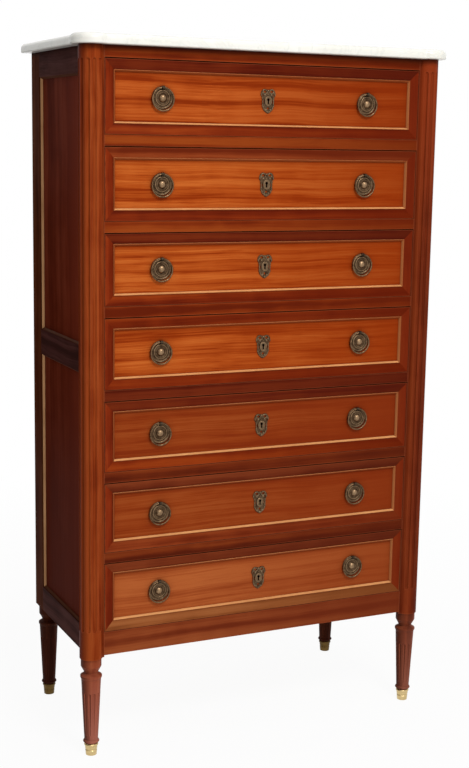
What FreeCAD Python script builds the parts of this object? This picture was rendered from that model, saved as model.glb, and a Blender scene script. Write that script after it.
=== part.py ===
import FreeCAD, Part
import math
import os
import re
import Sketcher

# Semainier: a tall chest of seven equal drawers with a marble top.
# Frame: millimetres, +Z up, front towards -Y, origin on the floor under the middle of the marble.

doc = FreeCAD.newDocument("semainier")
sheet = doc.addObject("Spreadsheet::Sheet", "Sizes")

# Driving dimensions: alias, value, what it is.
driving = [
    ("total_height", 1470, "floor to top of marble"),
    ("marble_thick", 20, "marble slab"),
    ("marble_half", 408, "half width of the marble between its ears"),
    ("marble_front", -200, "front edge of the marble between its ears"),
    ("marble_back", 208, "rear edge of the marble"),
    ("ear_radius", 40, "rounded ear of the marble over a column"),
    ("ear_blend", 12, "hollow where an ear runs into a straight edge"),
    ("marble_round_top", 11, "rounding of the marble's upper edge"),
    ("marble_round_low", 3, "rounding of the marble's lower edge"),
    ("column_x", 380.5, "column axis from the middle"),
    ("column_y", -168, "column axis, front to back"),
    ("column_radius", 24, "engaged column"),
    ("post_low", 213, "lower end of the posts"),
    ("post_inner", 355.5, "inner face of the front posts, one side of the drawer openings"),
    ("post_back", -130, "rear face of the front posts"),
    ("frame_front", -179, "front face of rails and dividers"),
    ("side_face", 386, "outer face of the side frames"),
    ("flute_radius", 4.8, "flute cutter of the columns"),
    ("flute_depth", 3, "depth of a column flute"),
    ("flute_low", 272, "lower end of the column flutes"),
    ("flute_high", 1424, "upper end of the column flutes"),
    ("flute_step", 32, "angle from flute to flute on a column"),
    ("flute_count", 5, "flutes on a column"),
    ("flute_first", -186, "direction of the rearmost flute on the left column"),
    ("rear_inner", 341, "inner face of the rear posts"),
    ("rear_front", 149, "front face of the rear posts"),
    ("rear_back", 204, "rear face of the rear posts"),
    ("rebate_wide", 12, "rebate for the back panel, across"),
    ("back_thick", 6, "back panel"),
    ("rebate_deep", 8, "rebate for the back panel, front to back"),
    ("rear_leg_x", 364, "rear leg axis from the middle"),
    ("rear_leg_y", 178, "rear leg axis, front to back"),
    ("groove_deep", 8, "panel grooves in the side frames"),
    ("groove_outer", 379, "outer wall of the panel grooves"),
    ("groove_inner", 371, "inner wall of the panel grooves"),
    ("side_rail_thick", 22, "side rails"),
    ("side_top_low", 1398, "lower edge of the top side rail"),
    ("side_mid_high", 858, "upper edge of the middle side rail"),
    ("side_mid_low", 803, "lower edge of the middle side rail"),
    ("side_low_high", 268, "upper edge of the bottom side rail"),
    ("side_low_low", 213, "lower edge of the bottom side rail"),
    ("panel_play", 0.2, "room round a panel in its groove"),
    ("fillet_wide", 4, "width of a brass fillet"),
    ("fillet_crown", 0.9, "flat crown along the outer edge of a brass fillet"),
    ("fillet_foot", 1, "height of a brass fillet at its inner edge"),
    ("side_fillet_high", 5, "brass fillet above a side panel"),
    ("rail_deep", 60, "frieze rail and dividers, front to back"),
    ("apron_thick", 22, "apron rail, front to back"),
    ("apron_low", 217, "lower edge of the apron"),
    ("tenon_long", 12, "tenon of a front rail into its post"),
    ("tenon_thick", 12, "tenon of a front rail, front to back"),
    ("tenon_back", 6, "tenon behind the face of a front rail"),
    ("tenon_shoulder", 4, "shoulder above and below a front rail's tenon"),
    ("side_tenon_long", 16, "tenon of a side rail into its post"),
    ("side_shoulder", 10, "shoulder above and below a side rail's tenon"),
    ("board_thick", 14, "top and bottom boards of the carcase"),
    ("board_low", 226, "underside of the bottom board"),
    ("drawer_count", 7, "drawers"),
    ("drawer_top", 1424.4, "upper edge of the top drawer"),
    ("drawer_pitch", 168.8, "drawer to drawer"),
    ("drawer_high", 143.8, "height of a drawer front"),
    ("drawer_half", 354.5, "half width of a drawer front"),
    ("drawer_gap", 1, "gap below a drawer front"),
    ("drawer_gap_over", 2.2, "gap above a drawer front"),
    ("front_face", -178.5, "outer face of a drawer front"),
    ("front_back", -156.5, "rear face of a drawer front"),
    ("lip", 1.5, "flat lip round the bevelled border"),
    ("bevel_deep", 4, "fall of the bevelled border"),
    ("panel_half_x", 335.3, "half width inside the border"),
    ("panel_half_z", 51.5, "half height inside the border"),
    ("panel_deep", 4, "drop from the border to the panel"),
    ("drawer_fillet_high", 5.5, "brass fillet above a drawer panel"),
    ("box_outer", 354, "outer face of a drawer side from the middle"),
    ("box_board", 12, "drawer sides and back"),
    ("box_back", 146, "rear end of a drawer"),
    ("box_lift", 2, "drawer sides above the lower edge of the front"),
    ("box_drop", 10, "drawer sides below the upper edge of the front"),
    ("bottom_thick", 5, "drawer bottom"),
    ("bottom_lift", 9, "drawer bottom above the lower edge of the front"),
    ("bottom_groove", 6, "depth of the groove for the drawer bottom"),
    ("tail_count", 4, "dovetails at a drawer's front corner"),
    ("tail_long", 13, "length of a dovetail into the front"),
    ("tail_neck", 18, "height of a dovetail where it leaves the side"),
    ("tail_tip", 24, "height of a dovetail at its tip"),
    ("runner_gap", 0.4, "room between a drawer side and its runner"),
    ("runner_inner", 340, "inner edge of a runner"),
    ("runner_thick", 18, "thickness of a runner under the drawer"),
    ("guide_inner", 355, "inner face of a runner's guide"),
    ("guide_high", 22, "guide above the runner"),
    ("lock_half", 28, "half width of a lock case"),
    ("lock_thick", 10, "lock case, front to back"),
    ("lock_high", 88, "height of a lock case"),
    ("lock_sunk", 1, "lock case below the drawer's upper edge"),
    ("bolt_half", 10, "half width of a lock bolt"),
    ("bolt_thick", 5, "lock bolt, front to back"),
    ("bolt_high", 26, "length of a lock bolt"),
    ("bolt_sunk", 0.7, "bolt below the top of its case at rest"),
    ("bolt_room", 0.3, "room round the bolt in its case"),
    ("bolt_throw", 8, "travel of the bolt"),
    ("keyway_radius", 4, "round hole for the key through front and lock"),
    ("keyway_slot", 2, "half width of the slot under that hole, in the front"),
    ("keyway_drop", 7, "reach of the slot below the drawer's middle"),
    ("keyway_lift", 2, "middle of the hole above the drawer's middle"),
    ("mortise_room", 1, "room round the bolt in the rail above it"),
    ("handle_x", 232, "ring pull from the middle"),
    ("plate_radius", 22.5, "backplate of a ring pull"),
    ("plate_edge", 0.8, "edge of the backplate"),
    ("plate_dish", 1.1, "dished face of the backplate"),
    ("rim_wide", 3, "rounded rim of the backplate"),
    ("rim_high", 2.1, "inner side of the rim"),
    ("rim_fall", 0.8, "slope from the rim to the dished face"),
    ("plate_bead", 14.5, "middle of the bead round the boss"),
    ("plate_bead_half", 1.7, "half width of that bead"),
    ("boss_foot", 9.8, "foot of the boss"),
    ("boss_radius", 8, "boss in the middle of the backplate"),
    ("boss_low", 2.6, "where the boss's dome begins"),
    ("boss_high", 5.2, "height of the boss's dome"),
    ("ring_radius", 22.5, "middle line of a ring"),
    ("ring_wire", 1.8, "radius of a ring's wire"),
    ("ring_drop", 2.5, "ring centre below the backplate's centre"),
    ("ring_stand", 5.2, "ring in front of the drawer panel"),
    ("knuckle_radius", 3.8, "barrel that holds a ring"),
    ("knuckle_half", 2.5, "half width of the barrel"),
    ("knuckle_bore", 2.2, "hole in the barrel"),
    ("escutcheon_half", 16, "half width of an escutcheon"),
    ("escutcheon_half_z", 25, "half height of an escutcheon"),
    ("escutcheon_bow", 15, "radius of the arcs round an escutcheon"),
    ("escutcheon_thick", 1.6, "thickness of an escutcheon"),
    ("medal_half", 8.6, "half width of the raised oval round the keyhole"),
    ("medal_half_z", 10.4, "half height of the raised oval"),
    ("medal_bow", 11.3, "radius of the four arcs that draw the oval"),
    ("medal_high", 3, "raised oval above the drawer panel"),
    ("key_radius", 3, "round of the keyhole"),
    ("key_slot", 1.6, "half width of the keyhole's slot"),
    ("key_drop", 9, "length of the keyhole's slot"),
    ("peg_radius", 10, "peg on top of a leg"),
    ("peg_high", 26, "length of the peg"),
    ("peg_play", 0.1, "room round the peg"),
    ("collar_radius", 21.5, "collar at the head of a leg"),
    ("collar_low", 195.5, "lower edge of the collar"),
    ("neck_radius", 14.4, "neck of a leg"),
    ("neck_high", 182, "upper end of the neck"),
    ("neck_low", 180.5, "lower end of the neck"),
    ("bead_radius", 22.6, "bead below the neck"),
    ("bead_high", 175, "top of the bead's edge"),
    ("bead_low", 171.5, "bottom of the bead's edge"),
    ("shaft_high", 167, "top of the tapered shaft"),
    ("shaft_radius_high", 20.6, "shaft at its top"),
    ("shaft_low", 34, "bottom of the tapered shaft"),
    ("shaft_radius_low", 14.4, "shaft at its bottom"),
    ("ankle_radius", 17, "ring above the sabot"),
    ("ankle_high", 32.5, "top of the ring above the sabot"),
    ("ankle_low", 27, "bottom of the ring above the sabot"),
    ("leg_flute_high", 136, "upper end of the leg flutes"),
    ("leg_flute_low", 46, "lower end of the leg flutes"),
    ("leg_flute_top", 3.6, "radius of a leg flute at its upper end"),
    ("leg_flute_foot", 2.4, "radius of a leg flute at its lower end"),
    ("leg_flute_out", 1.8, "leg flute's axis outside the shaft"),
    ("leg_flute_count", 12, "flutes round a leg"),
    ("sabot_high", 25, "height of a sabot"),
    ("sabot_radius_high", 13.6, "sabot at its rim"),
    ("sabot_radius_low", 11.4, "sabot at the floor"),
    ("sabot_rim", 5, "height of the bead round a sabot's rim"),
    ("sabot_groove", 12, "middle of the groove round a sabot"),
    ("sabot_groove_half", 1.7, "half height of that groove"),
    ("sabot_wall", 1.3, "wall of a sabot"),
    ("sabot_base", 2, "base of a sabot"),
]
for row, (alias, number, note) in enumerate(driving, 1):
    sheet.set(f"A{row}", note)
    sheet.set(f"B{row}", str(number))
    sheet.setAlias(f"B{row}", alias)
doc.recompute()
aliases = {alias for alias, number, note in driving}


def cell(formula):
    """A formula over the sheet's aliases, as an expression for another object."""
    return re.sub(r"[A-Za-z_]\w*", lambda m: "Sizes." + m[0] if m[0] in aliases else m[0], formula)


def value(formula):
    return float(sheet.evalExpression(formula))


def bind(thing, **formulas):
    for name, formula in formulas.items():
        thing.setExpression(name.replace("__", "."), cell(formula))


def place(thing, x="0", y="0", z="0"):
    bind(thing, Placement__Base__x=x, Placement__Base__y=y, Placement__Base__z=z)
    return thing


def origin_part(body, role):
    return next(f for f in body.Origin.OriginFeatures if f.Role == role)


def new_body(name):
    body = doc.addObject("PartDesign::Body", name)
    body.Label = name
    return body


def new_sketch(body, role, name, lift="0", turn=0):
    """A sketch on an origin plane, lifted along its normal and turned about its own vertical."""
    sketch = body.newObject("Sketcher::SketchObject", name)
    sketch.AttachmentSupport = [(origin_part(body, role), "")]
    sketch.MapMode = "FlatFace"
    upright = FreeCAD.Vector(0, 1, 0)
    sketch.AttachmentOffset = FreeCAD.Placement(FreeCAD.Vector(), FreeCAD.Rotation(upright, turn))
    bind(sketch, AttachmentOffset__Base__z=lift)
    return sketch


def pin(sketch, geometry, end, formulas):
    """Ties one end of a sketch line to a place given by two formulas."""
    for kind, axis, formula in zip(("DistanceX", "DistanceY"), (-2, -1), formulas):
        if formula == "0":
            sketch.addConstraint(Sketcher.Constraint("PointOnObject", geometry, end, axis))
        else:
            rule = Sketcher.Constraint(kind, -1, 1, geometry, end, value(formula))
            sketch.setExpression(f"Constraints[{sketch.addConstraint(rule)}]", cell(formula))


def arc_between(start, stop, radius, side):
    """The shorter arc of that radius, swelling to the right (1) or left (-1) of the way it runs."""
    chord = stop - start
    across = FreeCAD.Vector(chord.y, -chord.x, 0).normalize() * side
    middle = (start + stop) * 0.5 - across * math.sqrt(max(radius ** 2 - chord.Length ** 2 / 4, 0))
    first, last = (start, stop) if side > 0 else (stop, start)
    turn_from = math.atan2(first.y - middle.y, first.x - middle.x)
    turn_to = math.atan2(last.y - middle.y, last.x - middle.x)
    if turn_to < turn_from:
        turn_to += 2 * math.pi
    return Part.ArcOfCircle(Part.Circle(middle, FreeCAD.Vector(0, 0, 1), radius), turn_from, turn_to)


def outline(sketch, corners, arcs=None):
    """A closed outline through corners. arcs gives, for the run after a corner, the radius and the
    side it swells to: 1 is to the right of the way round, -1 to the left."""
    arcs = arcs or {}
    points = [FreeCAD.Vector(value(x), value(y), 0) for x, y in corners]
    ends = []
    for i, start in enumerate(points):
        stop = points[(i + 1) % len(points)]
        if i in arcs:
            line = arc_between(start, stop, value(arcs[i][0]), arcs[i][1])
        else:
            line = Part.LineSegment(start, stop)
        geometry = sketch.addGeometry(line, False)
        forward = sketch.Geometry[geometry].StartPoint.isEqual(start, 1e-6)
        ends.append((geometry, 1 if forward else 2, 2 if forward else 1))
    for i, (geometry, first, last) in enumerate(ends):
        after, after_first, after_last = ends[(i + 1) % len(ends)]
        sketch.addConstraint(Sketcher.Constraint("Coincident", geometry, last, after, after_first))
        pin(sketch, geometry, first, corners[i])
        if i in arcs:
            rule = Sketcher.Constraint("Radius", geometry, value(arcs[i][0]))
            sketch.setExpression(f"Constraints[{sketch.addConstraint(rule)}]", cell(arcs[i][0]))


def rectangle(sketch, low_x, low_y, high_x, high_y):
    outline(sketch, [(low_x, low_y), (high_x, low_y), (high_x, high_y), (low_x, high_y)])


def ring_line(sketch, x, y, radius):
    """A full circle about a place given by two formulas."""
    centre = FreeCAD.Vector(value(x), value(y), 0)
    geometry = sketch.addGeometry(Part.Circle(centre, FreeCAD.Vector(0, 0, 1), value(radius)), False)
    pin(sketch, geometry, 3, (x, y))
    rule = Sketcher.Constraint("Radius", geometry, value(radius))
    sketch.setExpression(f"Constraints[{sketch.addConstraint(rule)}]", cell(radius))


def feature(body, kind, name, sketch, **formulas):
    made = body.newObject(f"PartDesign::{kind}", name)
    made.Profile = sketch
    bind(made, **formulas)
    return made


def pad(body, sketch, length, back=False):
    made = feature(body, "Pad", "pad", sketch, Length=length)
    made.Reversed = back
    return made


def pocket(body, sketch, length, back=False):
    """Cuts the sketch's shape away, and stops if it missed the solid."""
    doc.recompute()
    before = body.Shape.Volume
    made = feature(body, "Pocket", "pocket", sketch, Length=length)
    made.Reversed = back
    doc.recompute()
    if body.Shape.Volume > before - 1:
        raise ValueError(f"the pocket in {body.Label} cuts nothing")
    return made


def turned(body, sketch, kind="Revolution", axis=None):
    """Turns the sketch about its own vertical, or about its first construction line."""
    made = feature(body, kind, kind.lower(), sketch)
    made.ReferenceAxis = (sketch, [axis or "V_Axis"])
    made.Angle = 360
    return made


def repeat_round(body, original, count, angle):
    pattern = body.newObject("PartDesign::PolarPattern", "round")
    pattern.Originals = [original]
    pattern.Axis = (origin_part(body, "Z_Axis"), [""])
    bind(pattern, Occurrences=count, Angle=angle)
    body.Tip = pattern
    return pattern


def rounded(body, base, radius, wanted):
    """Rounds the edges of the base feature for which wanted(edge) holds."""
    doc.recompute()
    edges = [f"Edge{i}" for i, edge in enumerate(base.Shape.Edges, 1) if wanted(edge)]
    made = body.newObject("PartDesign::Fillet", "rounding")
    made.Base = (base, edges)
    bind(made, Radius=radius)
    return made


def slab(name, low, high):
    """A plain board between two corners given by formulas."""
    board = doc.addObject("Part::Box", name)
    for side, first, last in zip(("Length", "Width", "Height"), low, high):
        board.setExpression(side, cell(f"({last}) - ({first})"))
    return place(board, *low)


def group(name, pieces, x="0", y="0", z="0"):
    """Pieces that share one node, each still its own solid."""
    made = doc.addObject("Part::Compound", name)
    made.Label = name
    made.Links = pieces
    return place(made, x, y, z)


def mirrored(name, source):
    """The same piece on the other side of the middle plane."""
    made = doc.addObject("Part::Mirroring", name)
    made.Label = name
    made.Source = source
    made.Normal = FreeCAD.Vector(1, 0, 0)
    return made


def cut_out(name, base, tools):
    made = doc.addObject("Part::Cut", name)
    made.Label = name
    made.Base = base
    made.Tool = joined(f"{name}_tools", tools) if len(tools) > 1 else tools[0]
    return made


def joined(name, pieces):
    """Several shapes made into one solid."""
    made = doc.addObject("Part::MultiFuse", name)
    made.Label = name
    made.Shapes = pieces
    return made


nodes = []


def keep(node):
    nodes.append(node)
    return node


def flat_edge(edge, height):
    """True for an edge that lies level at that height."""
    box = edge.BoundBox
    return abs(box.ZMin - height) < 1e-3 and abs(box.ZMax - height) < 1e-3


def make_marble():
    body = new_body("marble_top")
    plan = new_sketch(body, "XY_Plane", "plan")
    reach_side = "sqrt(pow(ear_radius; 2) - pow(marble_half - column_x; 2))"
    reach_front = "sqrt(pow(ear_radius; 2) - pow(column_y - marble_front; 2))"
    right = [
        ("marble_half", "marble_back"),
        ("marble_half", f"column_y + {reach_side}"),
        ("column_x + ear_radius * sqrt(0.5)", "column_y - ear_radius * sqrt(0.5)"),
        (f"column_x - {reach_front}", "marble_front"),
    ]
    left = [(f"-({x})", y) for x, y in reversed(right)]
    outline(plan, right + left, {i: ("ear_radius", -1) for i in (1, 2, 4, 5)})
    plate = pad(body, plan, "marble_thick")
    half, front, back = value("marble_half"), value("marble_front"), value("marble_back")
    thick = value("marble_thick")

    def upright_hollow(edge):
        box = edge.BoundBox
        at_side = abs(abs(box.XMin) - half) < 1e-3 and box.YMax < 0
        at_front = abs(box.YMin - front) < 1e-3
        return box.ZLength > 1 and box.XLength < 1e-3 and (at_side or at_front)

    hollows = rounded(body, plate, "ear_blend", upright_hollow)
    upper = rounded(body, hollows, "marble_round_top",
                    lambda e: flat_edge(e, thick) and e.BoundBox.YMin < back - 1e-3)
    rounded(body, upper, "marble_round_low",
            lambda e: flat_edge(e, 0) and e.BoundBox.YMin < back - 1e-3)
    keep(place(body, z="total_height - marble_thick"))


def axis_line(sketch, start, stop):
    """A construction line that a profile is turned about, between two places given by formulas."""
    ends = [FreeCAD.Vector(value(x), value(y), 0) for x, y in (start, stop)]
    geometry = sketch.addGeometry(Part.LineSegment(*ends), True)
    pin(sketch, geometry, 1, start)
    pin(sketch, geometry, 2, stop)


def socket(body, x, y):
    """A blind hole in the lower end of a post for the peg of a leg."""
    hole = new_sketch(body, "XY_Plane", "socket")
    ring_line(hole, x, y, "peg_radius + peg_play")
    pocket(body, hole, "peg_high + peg_play", back=True)


frieze_span = ("drawer_top + drawer_gap_over", "total_height - marble_thick")
apron_span = ("apron_low", "drawer_top - drawer_pitch * (drawer_count - 1) - drawer_high - drawer_gap")
divider_span = ("drawer_top - drawer_pitch + drawer_gap_over", "drawer_top - drawer_high - drawer_gap")
side_spans = [("side_top_low", "total_height - marble_thick"), ("side_mid_low", "side_mid_high"),
              ("side_low_low", "side_low_high")]


def front_tenon(name, low, high):
    """The tenon at the left end of a front rail that lies between two heights."""
    front = "frame_front + tenon_back"
    return slab(name, ("-post_inner - tenon_long", front, f"{low} + tenon_shoulder"),
                ("-post_inner", f"{front} + tenon_thick", f"{high} - tenon_shoulder"))


def side_tenon(name, start, stop, low, high):
    """A tenon of a left side rail, as thick as the panel groove it stands in."""
    return slab(name, ("-groove_outer", start, f"{low} + side_shoulder"),
                ("-groove_inner", stop, f"{high} - side_shoulder"))


def front_side_tenon(name, low, high):
    return side_tenon(name, "post_back - side_tenon_long", "post_back", low, high)


def rear_side_tenon(name, low, high):
    return side_tenon(name, "rear_front", "rear_front + side_tenon_long", low, high)


def make_front_posts():
    """The left post is drawn about the axis of its column, then mortised for the tenons of the front
    and side rails. The right one mirrors it."""
    body = new_body("front_post")
    plan = new_sketch(body, "XY_Plane", "plan")
    face = "frame_front - column_y"
    inner = "column_x - post_inner"
    outer = "column_x - side_face"
    rear = "post_back - column_y"
    groove_far, groove_near = "column_x - groove_outer", "column_x - groove_inner"
    corners = [
        (f"sqrt(pow(column_radius; 2) - pow({face}; 2))", face), (inner, face), (inner, rear),
        (groove_near, rear), (groove_near, f"{rear} - groove_deep"),
        (groove_far, f"{rear} - groove_deep"), (groove_far, rear), (outer, rear),
        (outer, f"sqrt(pow(column_radius; 2) - pow({outer}; 2))"),
        ("-column_radius", "0"), ("0", "-column_radius"),
    ]
    outline(plan, corners, {i: ("column_radius", 1) for i in (8, 9, 10)})
    pad(body, plan, "total_height - marble_thick - post_low")
    socket(body, "0", "0")
    flute = new_sketch(body, "XZ_Plane", "flute", turn=value("flute_first"))
    middle = "column_radius + flute_radius - flute_depth"
    wall = "column_radius + 2 * flute_radius - flute_depth"
    low, high = (middle, "flute_low - post_low"), (middle, "flute_high - post_low")
    corners = [low, (wall, "flute_low - post_low + flute_radius"),
               (wall, "flute_high - post_low - flute_radius"), high]
    outline(flute, corners, {0: ("flute_radius", 1), 2: ("flute_radius", 1)})
    axis_line(flute, low, high)
    cut = turned(body, flute, "Groove", "Axis0")
    doc.recompute()
    repeat_round(body, cut, "flute_count", "flute_step * (flute_count - 1)")
    place(body, "-column_x", "column_y", "post_low")
    spans = [frieze_span, apron_span]
    for i in range(int(value("drawer_count")) - 1):
        spans.append([f"{height} - drawer_pitch * {i}" for height in divider_span])
    mortises = [front_tenon(f"rail_mortise_{i}", *span) for i, span in enumerate(spans, 1)]
    mortises += [front_side_tenon(f"front_mortise_{i}", *span) for i, span in enumerate(side_spans, 1)]
    left = keep(cut_out("front_left_post", body, mortises))
    keep(mirrored("front_right_post", left))


def make_rear_posts():
    body = new_body("rear_post")
    plan = new_sketch(body, "XY_Plane", "plan")
    step_x, step_y = "-(rear_inner + rebate_wide)", "rear_back - rebate_deep"
    outline(plan, [
        ("-rear_inner", "rear_front"), ("-rear_inner", step_y), (step_x, step_y), (step_x, "rear_back"),
        ("-side_face", "rear_back"), ("-side_face", "rear_front"), ("-groove_outer", "rear_front"),
        ("-groove_outer", "rear_front + groove_deep"), ("-groove_inner", "rear_front + groove_deep"),
        ("-groove_inner", "rear_front"),
    ])
    pad(body, plan, "total_height - marble_thick - post_low")
    socket(body, "-rear_leg_x", "rear_leg_y")
    place(body, z="post_low")
    mortises = [rear_side_tenon(f"rear_mortise_{i}", *span) for i, span in enumerate(side_spans, 1)]
    left = keep(cut_out("rear_left_post", body, mortises))
    keep(mirrored("rear_right_post", left))


def make_legs():
    """A leg is turned whole, then its flutes are cut along the taper. Four stand under the posts."""
    leg = new_body("leg")
    profile = new_sketch(leg, "XZ_Plane", "profile")
    peg_top = "post_low + peg_high"
    tip_high = "sabot_radius_high - sabot_wall - peg_play"
    tip_low = "sabot_radius_low - sabot_wall - peg_play"
    tip_foot = "sabot_base + peg_play"
    outline(profile, [
        ("0", tip_foot), (tip_low, tip_foot), (tip_high, "sabot_high"), (tip_high, "ankle_low"),
        ("ankle_radius", "(ankle_low + ankle_high) / 2"), ("shaft_radius_low", "shaft_low"),
        ("shaft_radius_high", "shaft_high"), ("bead_radius", "bead_low"), ("bead_radius", "bead_high"),
        ("neck_radius", "neck_low"), ("neck_radius", "neck_high"), ("collar_radius", "collar_low"),
        ("collar_radius", "post_low"), ("peg_radius", "post_low"), ("peg_radius", peg_top), ("0", peg_top),
    ], {3: ("ankle_high - ankle_low", 1), 4: ("ankle_high - ankle_low", 1)})
    turned(leg, profile)
    slope = "((shaft_radius_high - shaft_radius_low) / (shaft_high - shaft_low))"
    stretch = f"sqrt(1 + pow({slope}; 2))"
    foot_x = f"shaft_radius_low + leg_flute_out + {slope} * (leg_flute_low - shaft_low)"
    head_x = f"shaft_radius_low + leg_flute_out + {slope} * (leg_flute_high - shaft_low)"
    flute = new_sketch(leg, "XZ_Plane", "flute")
    low = (f"{foot_x} - leg_flute_foot * {slope} / {stretch}", f"leg_flute_low - leg_flute_foot / {stretch}")
    high = (f"{head_x} + leg_flute_top * {slope} / {stretch}", f"leg_flute_high + leg_flute_top / {stretch}")
    outline(flute, [
        low,
        (f"{foot_x} + leg_flute_foot / {stretch}", f"leg_flute_low - leg_flute_foot * {slope} / {stretch}"),
        (f"{head_x} + leg_flute_top / {stretch}", f"leg_flute_high - leg_flute_top * {slope} / {stretch}"),
        high,
    ], {0: ("leg_flute_foot", 1), 2: ("leg_flute_top", 1)})
    axis_line(flute, low, high)
    cut = turned(leg, flute, "Groove", "Axis0")
    doc.recompute()
    repeat_round(leg, cut, "leg_flute_count", "360")

    sabot = new_body("sabot")
    cup = new_sketch(sabot, "XZ_Plane", "cup")

    def on_wall(height):
        return f"sabot_radius_low + (sabot_radius_high - sabot_radius_low) * ({height}) / sabot_high", height

    outline(cup, [
        ("0", "0"), ("sabot_radius_low", "0"), on_wall("sabot_groove - sabot_groove_half"),
        on_wall("sabot_groove + sabot_groove_half"), on_wall("sabot_high - sabot_rim"), on_wall("sabot_high"),
        ("sabot_radius_high - sabot_wall", "sabot_high"), ("sabot_radius_low - sabot_wall", "sabot_base"),
        ("0", "sabot_base"),
    ], {2: ("sabot_groove_half * 1.3", -1), 4: ("sabot_rim * 0.6", 1)})
    turned(sabot, cup)
    feet = [("-column_x", "column_y"), ("column_x", "column_y"),
            ("-rear_leg_x", "rear_leg_y"), ("rear_leg_x", "rear_leg_y")]
    for name, piece in (("legs", leg), ("sabots", sabot)):
        keep(group(name, [group(f"{name}_at_{i}", [piece], x, y) for i, (x, y) in enumerate(feet, 1)]))


def bolt_span(room):
    """Low and high places of the lock bolt across and front to back, with room round it."""
    middle = "(front_back + lock_thick / 2)"
    return (f"-bolt_half - {room}", f"{middle} - bolt_thick / 2 - {room}",
            f"bolt_half + {room}", f"{middle} + bolt_thick / 2 + {room}")


def mortised(name, rail, underside):
    """A rail with the mortise in its underside that takes the bolt of the drawer below."""
    low_x, low_y, high_x, high_y = bolt_span("mortise_room")
    slot = slab(f"{name}_mortise", (low_x, low_y, f"{underside} - 1"),
                (high_x, high_y, f"{underside} + bolt_throw + mortise_room"))
    return cut_out(name, rail, [slot])


def front_rail(name, span, deep):
    """A rail between the front posts, with a tenon at each end."""
    low, high = span
    board = slab(f"{name}_board", ("-post_inner", "frame_front", low),
                 ("post_inner", f"frame_front + {deep}", high))
    tenon = front_tenon(f"{name}_tenon", low, high)
    return joined(name, [board, tenon, mirrored(f"{name}_other_tenon", tenon)])


def make_front_rails():
    keep(mortised("frieze_rail", front_rail("frieze", frieze_span, "rail_deep"), frieze_span[0]))
    keep(front_rail("apron_rail", apron_span, "apron_thick"))
    divider = mortised("divider", front_rail("divider_blank", divider_span, "rail_deep"), divider_span[0])
    count = int(value("drawer_count")) - 1
    keep(group("drawer_dividers",
               [group(f"divider_{i + 1}", [divider], z=f"-drawer_pitch * {i}") for i in range(count)]))


def side_rail(name, low, high, groove_under, groove_over):
    """A rail of the left side, with a groove along each edge that holds a panel, and two tenons."""
    body = new_body(f"{name}_blank")
    section = new_sketch(body, "XZ_Plane", "section", lift="-post_back")
    face, back = "-side_face", "-side_face + side_rail_thick"
    corners = [(face, low)]
    if groove_under:
        corners += [("-groove_outer", low), ("-groove_outer", f"{low} + groove_deep"),
                    ("-groove_inner", f"{low} + groove_deep"), ("-groove_inner", low)]
    corners += [(back, low), (back, high)]
    if groove_over:
        corners += [("-groove_inner", high), ("-groove_inner", f"{high} - groove_deep"),
                    ("-groove_outer", f"{high} - groove_deep"), ("-groove_outer", high)]
    corners += [(face, high)]
    outline(section, corners)
    pad(body, section, "rear_front - post_back", back=True)
    return joined(name, [body, front_side_tenon(f"{name}_front_tenon", low, high),
                         rear_side_tenon(f"{name}_rear_tenon", low, high)])


def moulding_frame(name, plane, base, way, rise, edges):
    """A brass frame that falls from a narrow crown to its inner edge. edges(inset) gives a rectangle
    that far inside the frame's outline, and the frame rises from the base along way, + or -."""
    body = new_body(name)
    frame = new_sketch(body, plane, "frame", lift=base)
    for inset in ("0", "fillet_wide"):
        rectangle(frame, *edges(inset))
    pad(body, frame, rise, back=way == "-")
    crown = new_sketch(body, plane, "crown", lift=f"{base} {way} {rise}")
    rectangle(crown, *edges("fillet_crown"))
    foot = new_sketch(body, plane, "foot", lift=f"{base} {way} fillet_foot")
    rectangle(foot, *edges("fillet_wide"))
    slope = body.newObject("PartDesign::SubtractiveLoft", "slope")
    slope.Profile = crown
    slope.Sections = [foot]
    slope.Ruled = True
    return body


def side_fillet(name, low, high):
    """A brass frame on the left side panel, against the frame's inner edges."""
    return moulding_frame(name, "YZ_Plane", "-groove_outer + panel_play", "-", "side_fillet_high",
                          lambda inset: (f"post_back + {inset}", f"{low} + {inset}",
                                         f"rear_front - {inset}", f"{high} - {inset}"))


def make_sides():
    top, middle, bottom = side_spans
    rails = [side_rail("top_side_rail", *top, True, False),
             side_rail("middle_side_rail", *middle, True, True),
             side_rail("bottom_side_rail", *bottom, False, True)]
    keep(mirrored("right_side_rails", keep(group("left_side_rails", rails))))
    openings = [("side_mid_high", "side_top_low"), ("side_low_high", "side_mid_low")]
    reach = "(groove_deep - panel_play)"
    panels = [slab(f"side_panel_{i}",
                   ("-groove_outer + panel_play", f"post_back - {reach}", f"{low} - {reach}"),
                   ("-groove_inner - panel_play", f"rear_front + {reach}", f"{high} + {reach}"))
              for i, (low, high) in enumerate(openings, 1)]
    keep(mirrored("right_side_panels", keep(group("left_side_panels", panels))))
    left = group("left_side_fillets", [side_fillet(f"side_fillet_{i}", low, high)
                                       for i, (low, high) in enumerate(openings, 1)])
    keep(group("side_fillets", [left, mirrored("right_side_fillets", left)]))


def make_back_and_boards():
    back_front = "rear_back - rebate_deep"
    half = "rear_inner + rebate_wide - panel_play"
    keep(slab("back_panel", (f"-({half})", back_front, "side_low_low"),
              (half, f"{back_front} + back_thick", "total_height - marble_thick")))
    inner = "side_face - side_rail_thick"
    top = "total_height - marble_thick"
    boards = [
        slab("top_board", (f"-({inner})", "frame_front + rail_deep", f"{top} - board_thick"),
             (inner, "rear_front", top)),
        slab("bottom_board", (f"-({inner})", "post_back", "board_low"),
             (inner, "rear_front", "board_low + board_thick")),
    ]
    keep(group("carcase_boards", boards))


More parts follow.
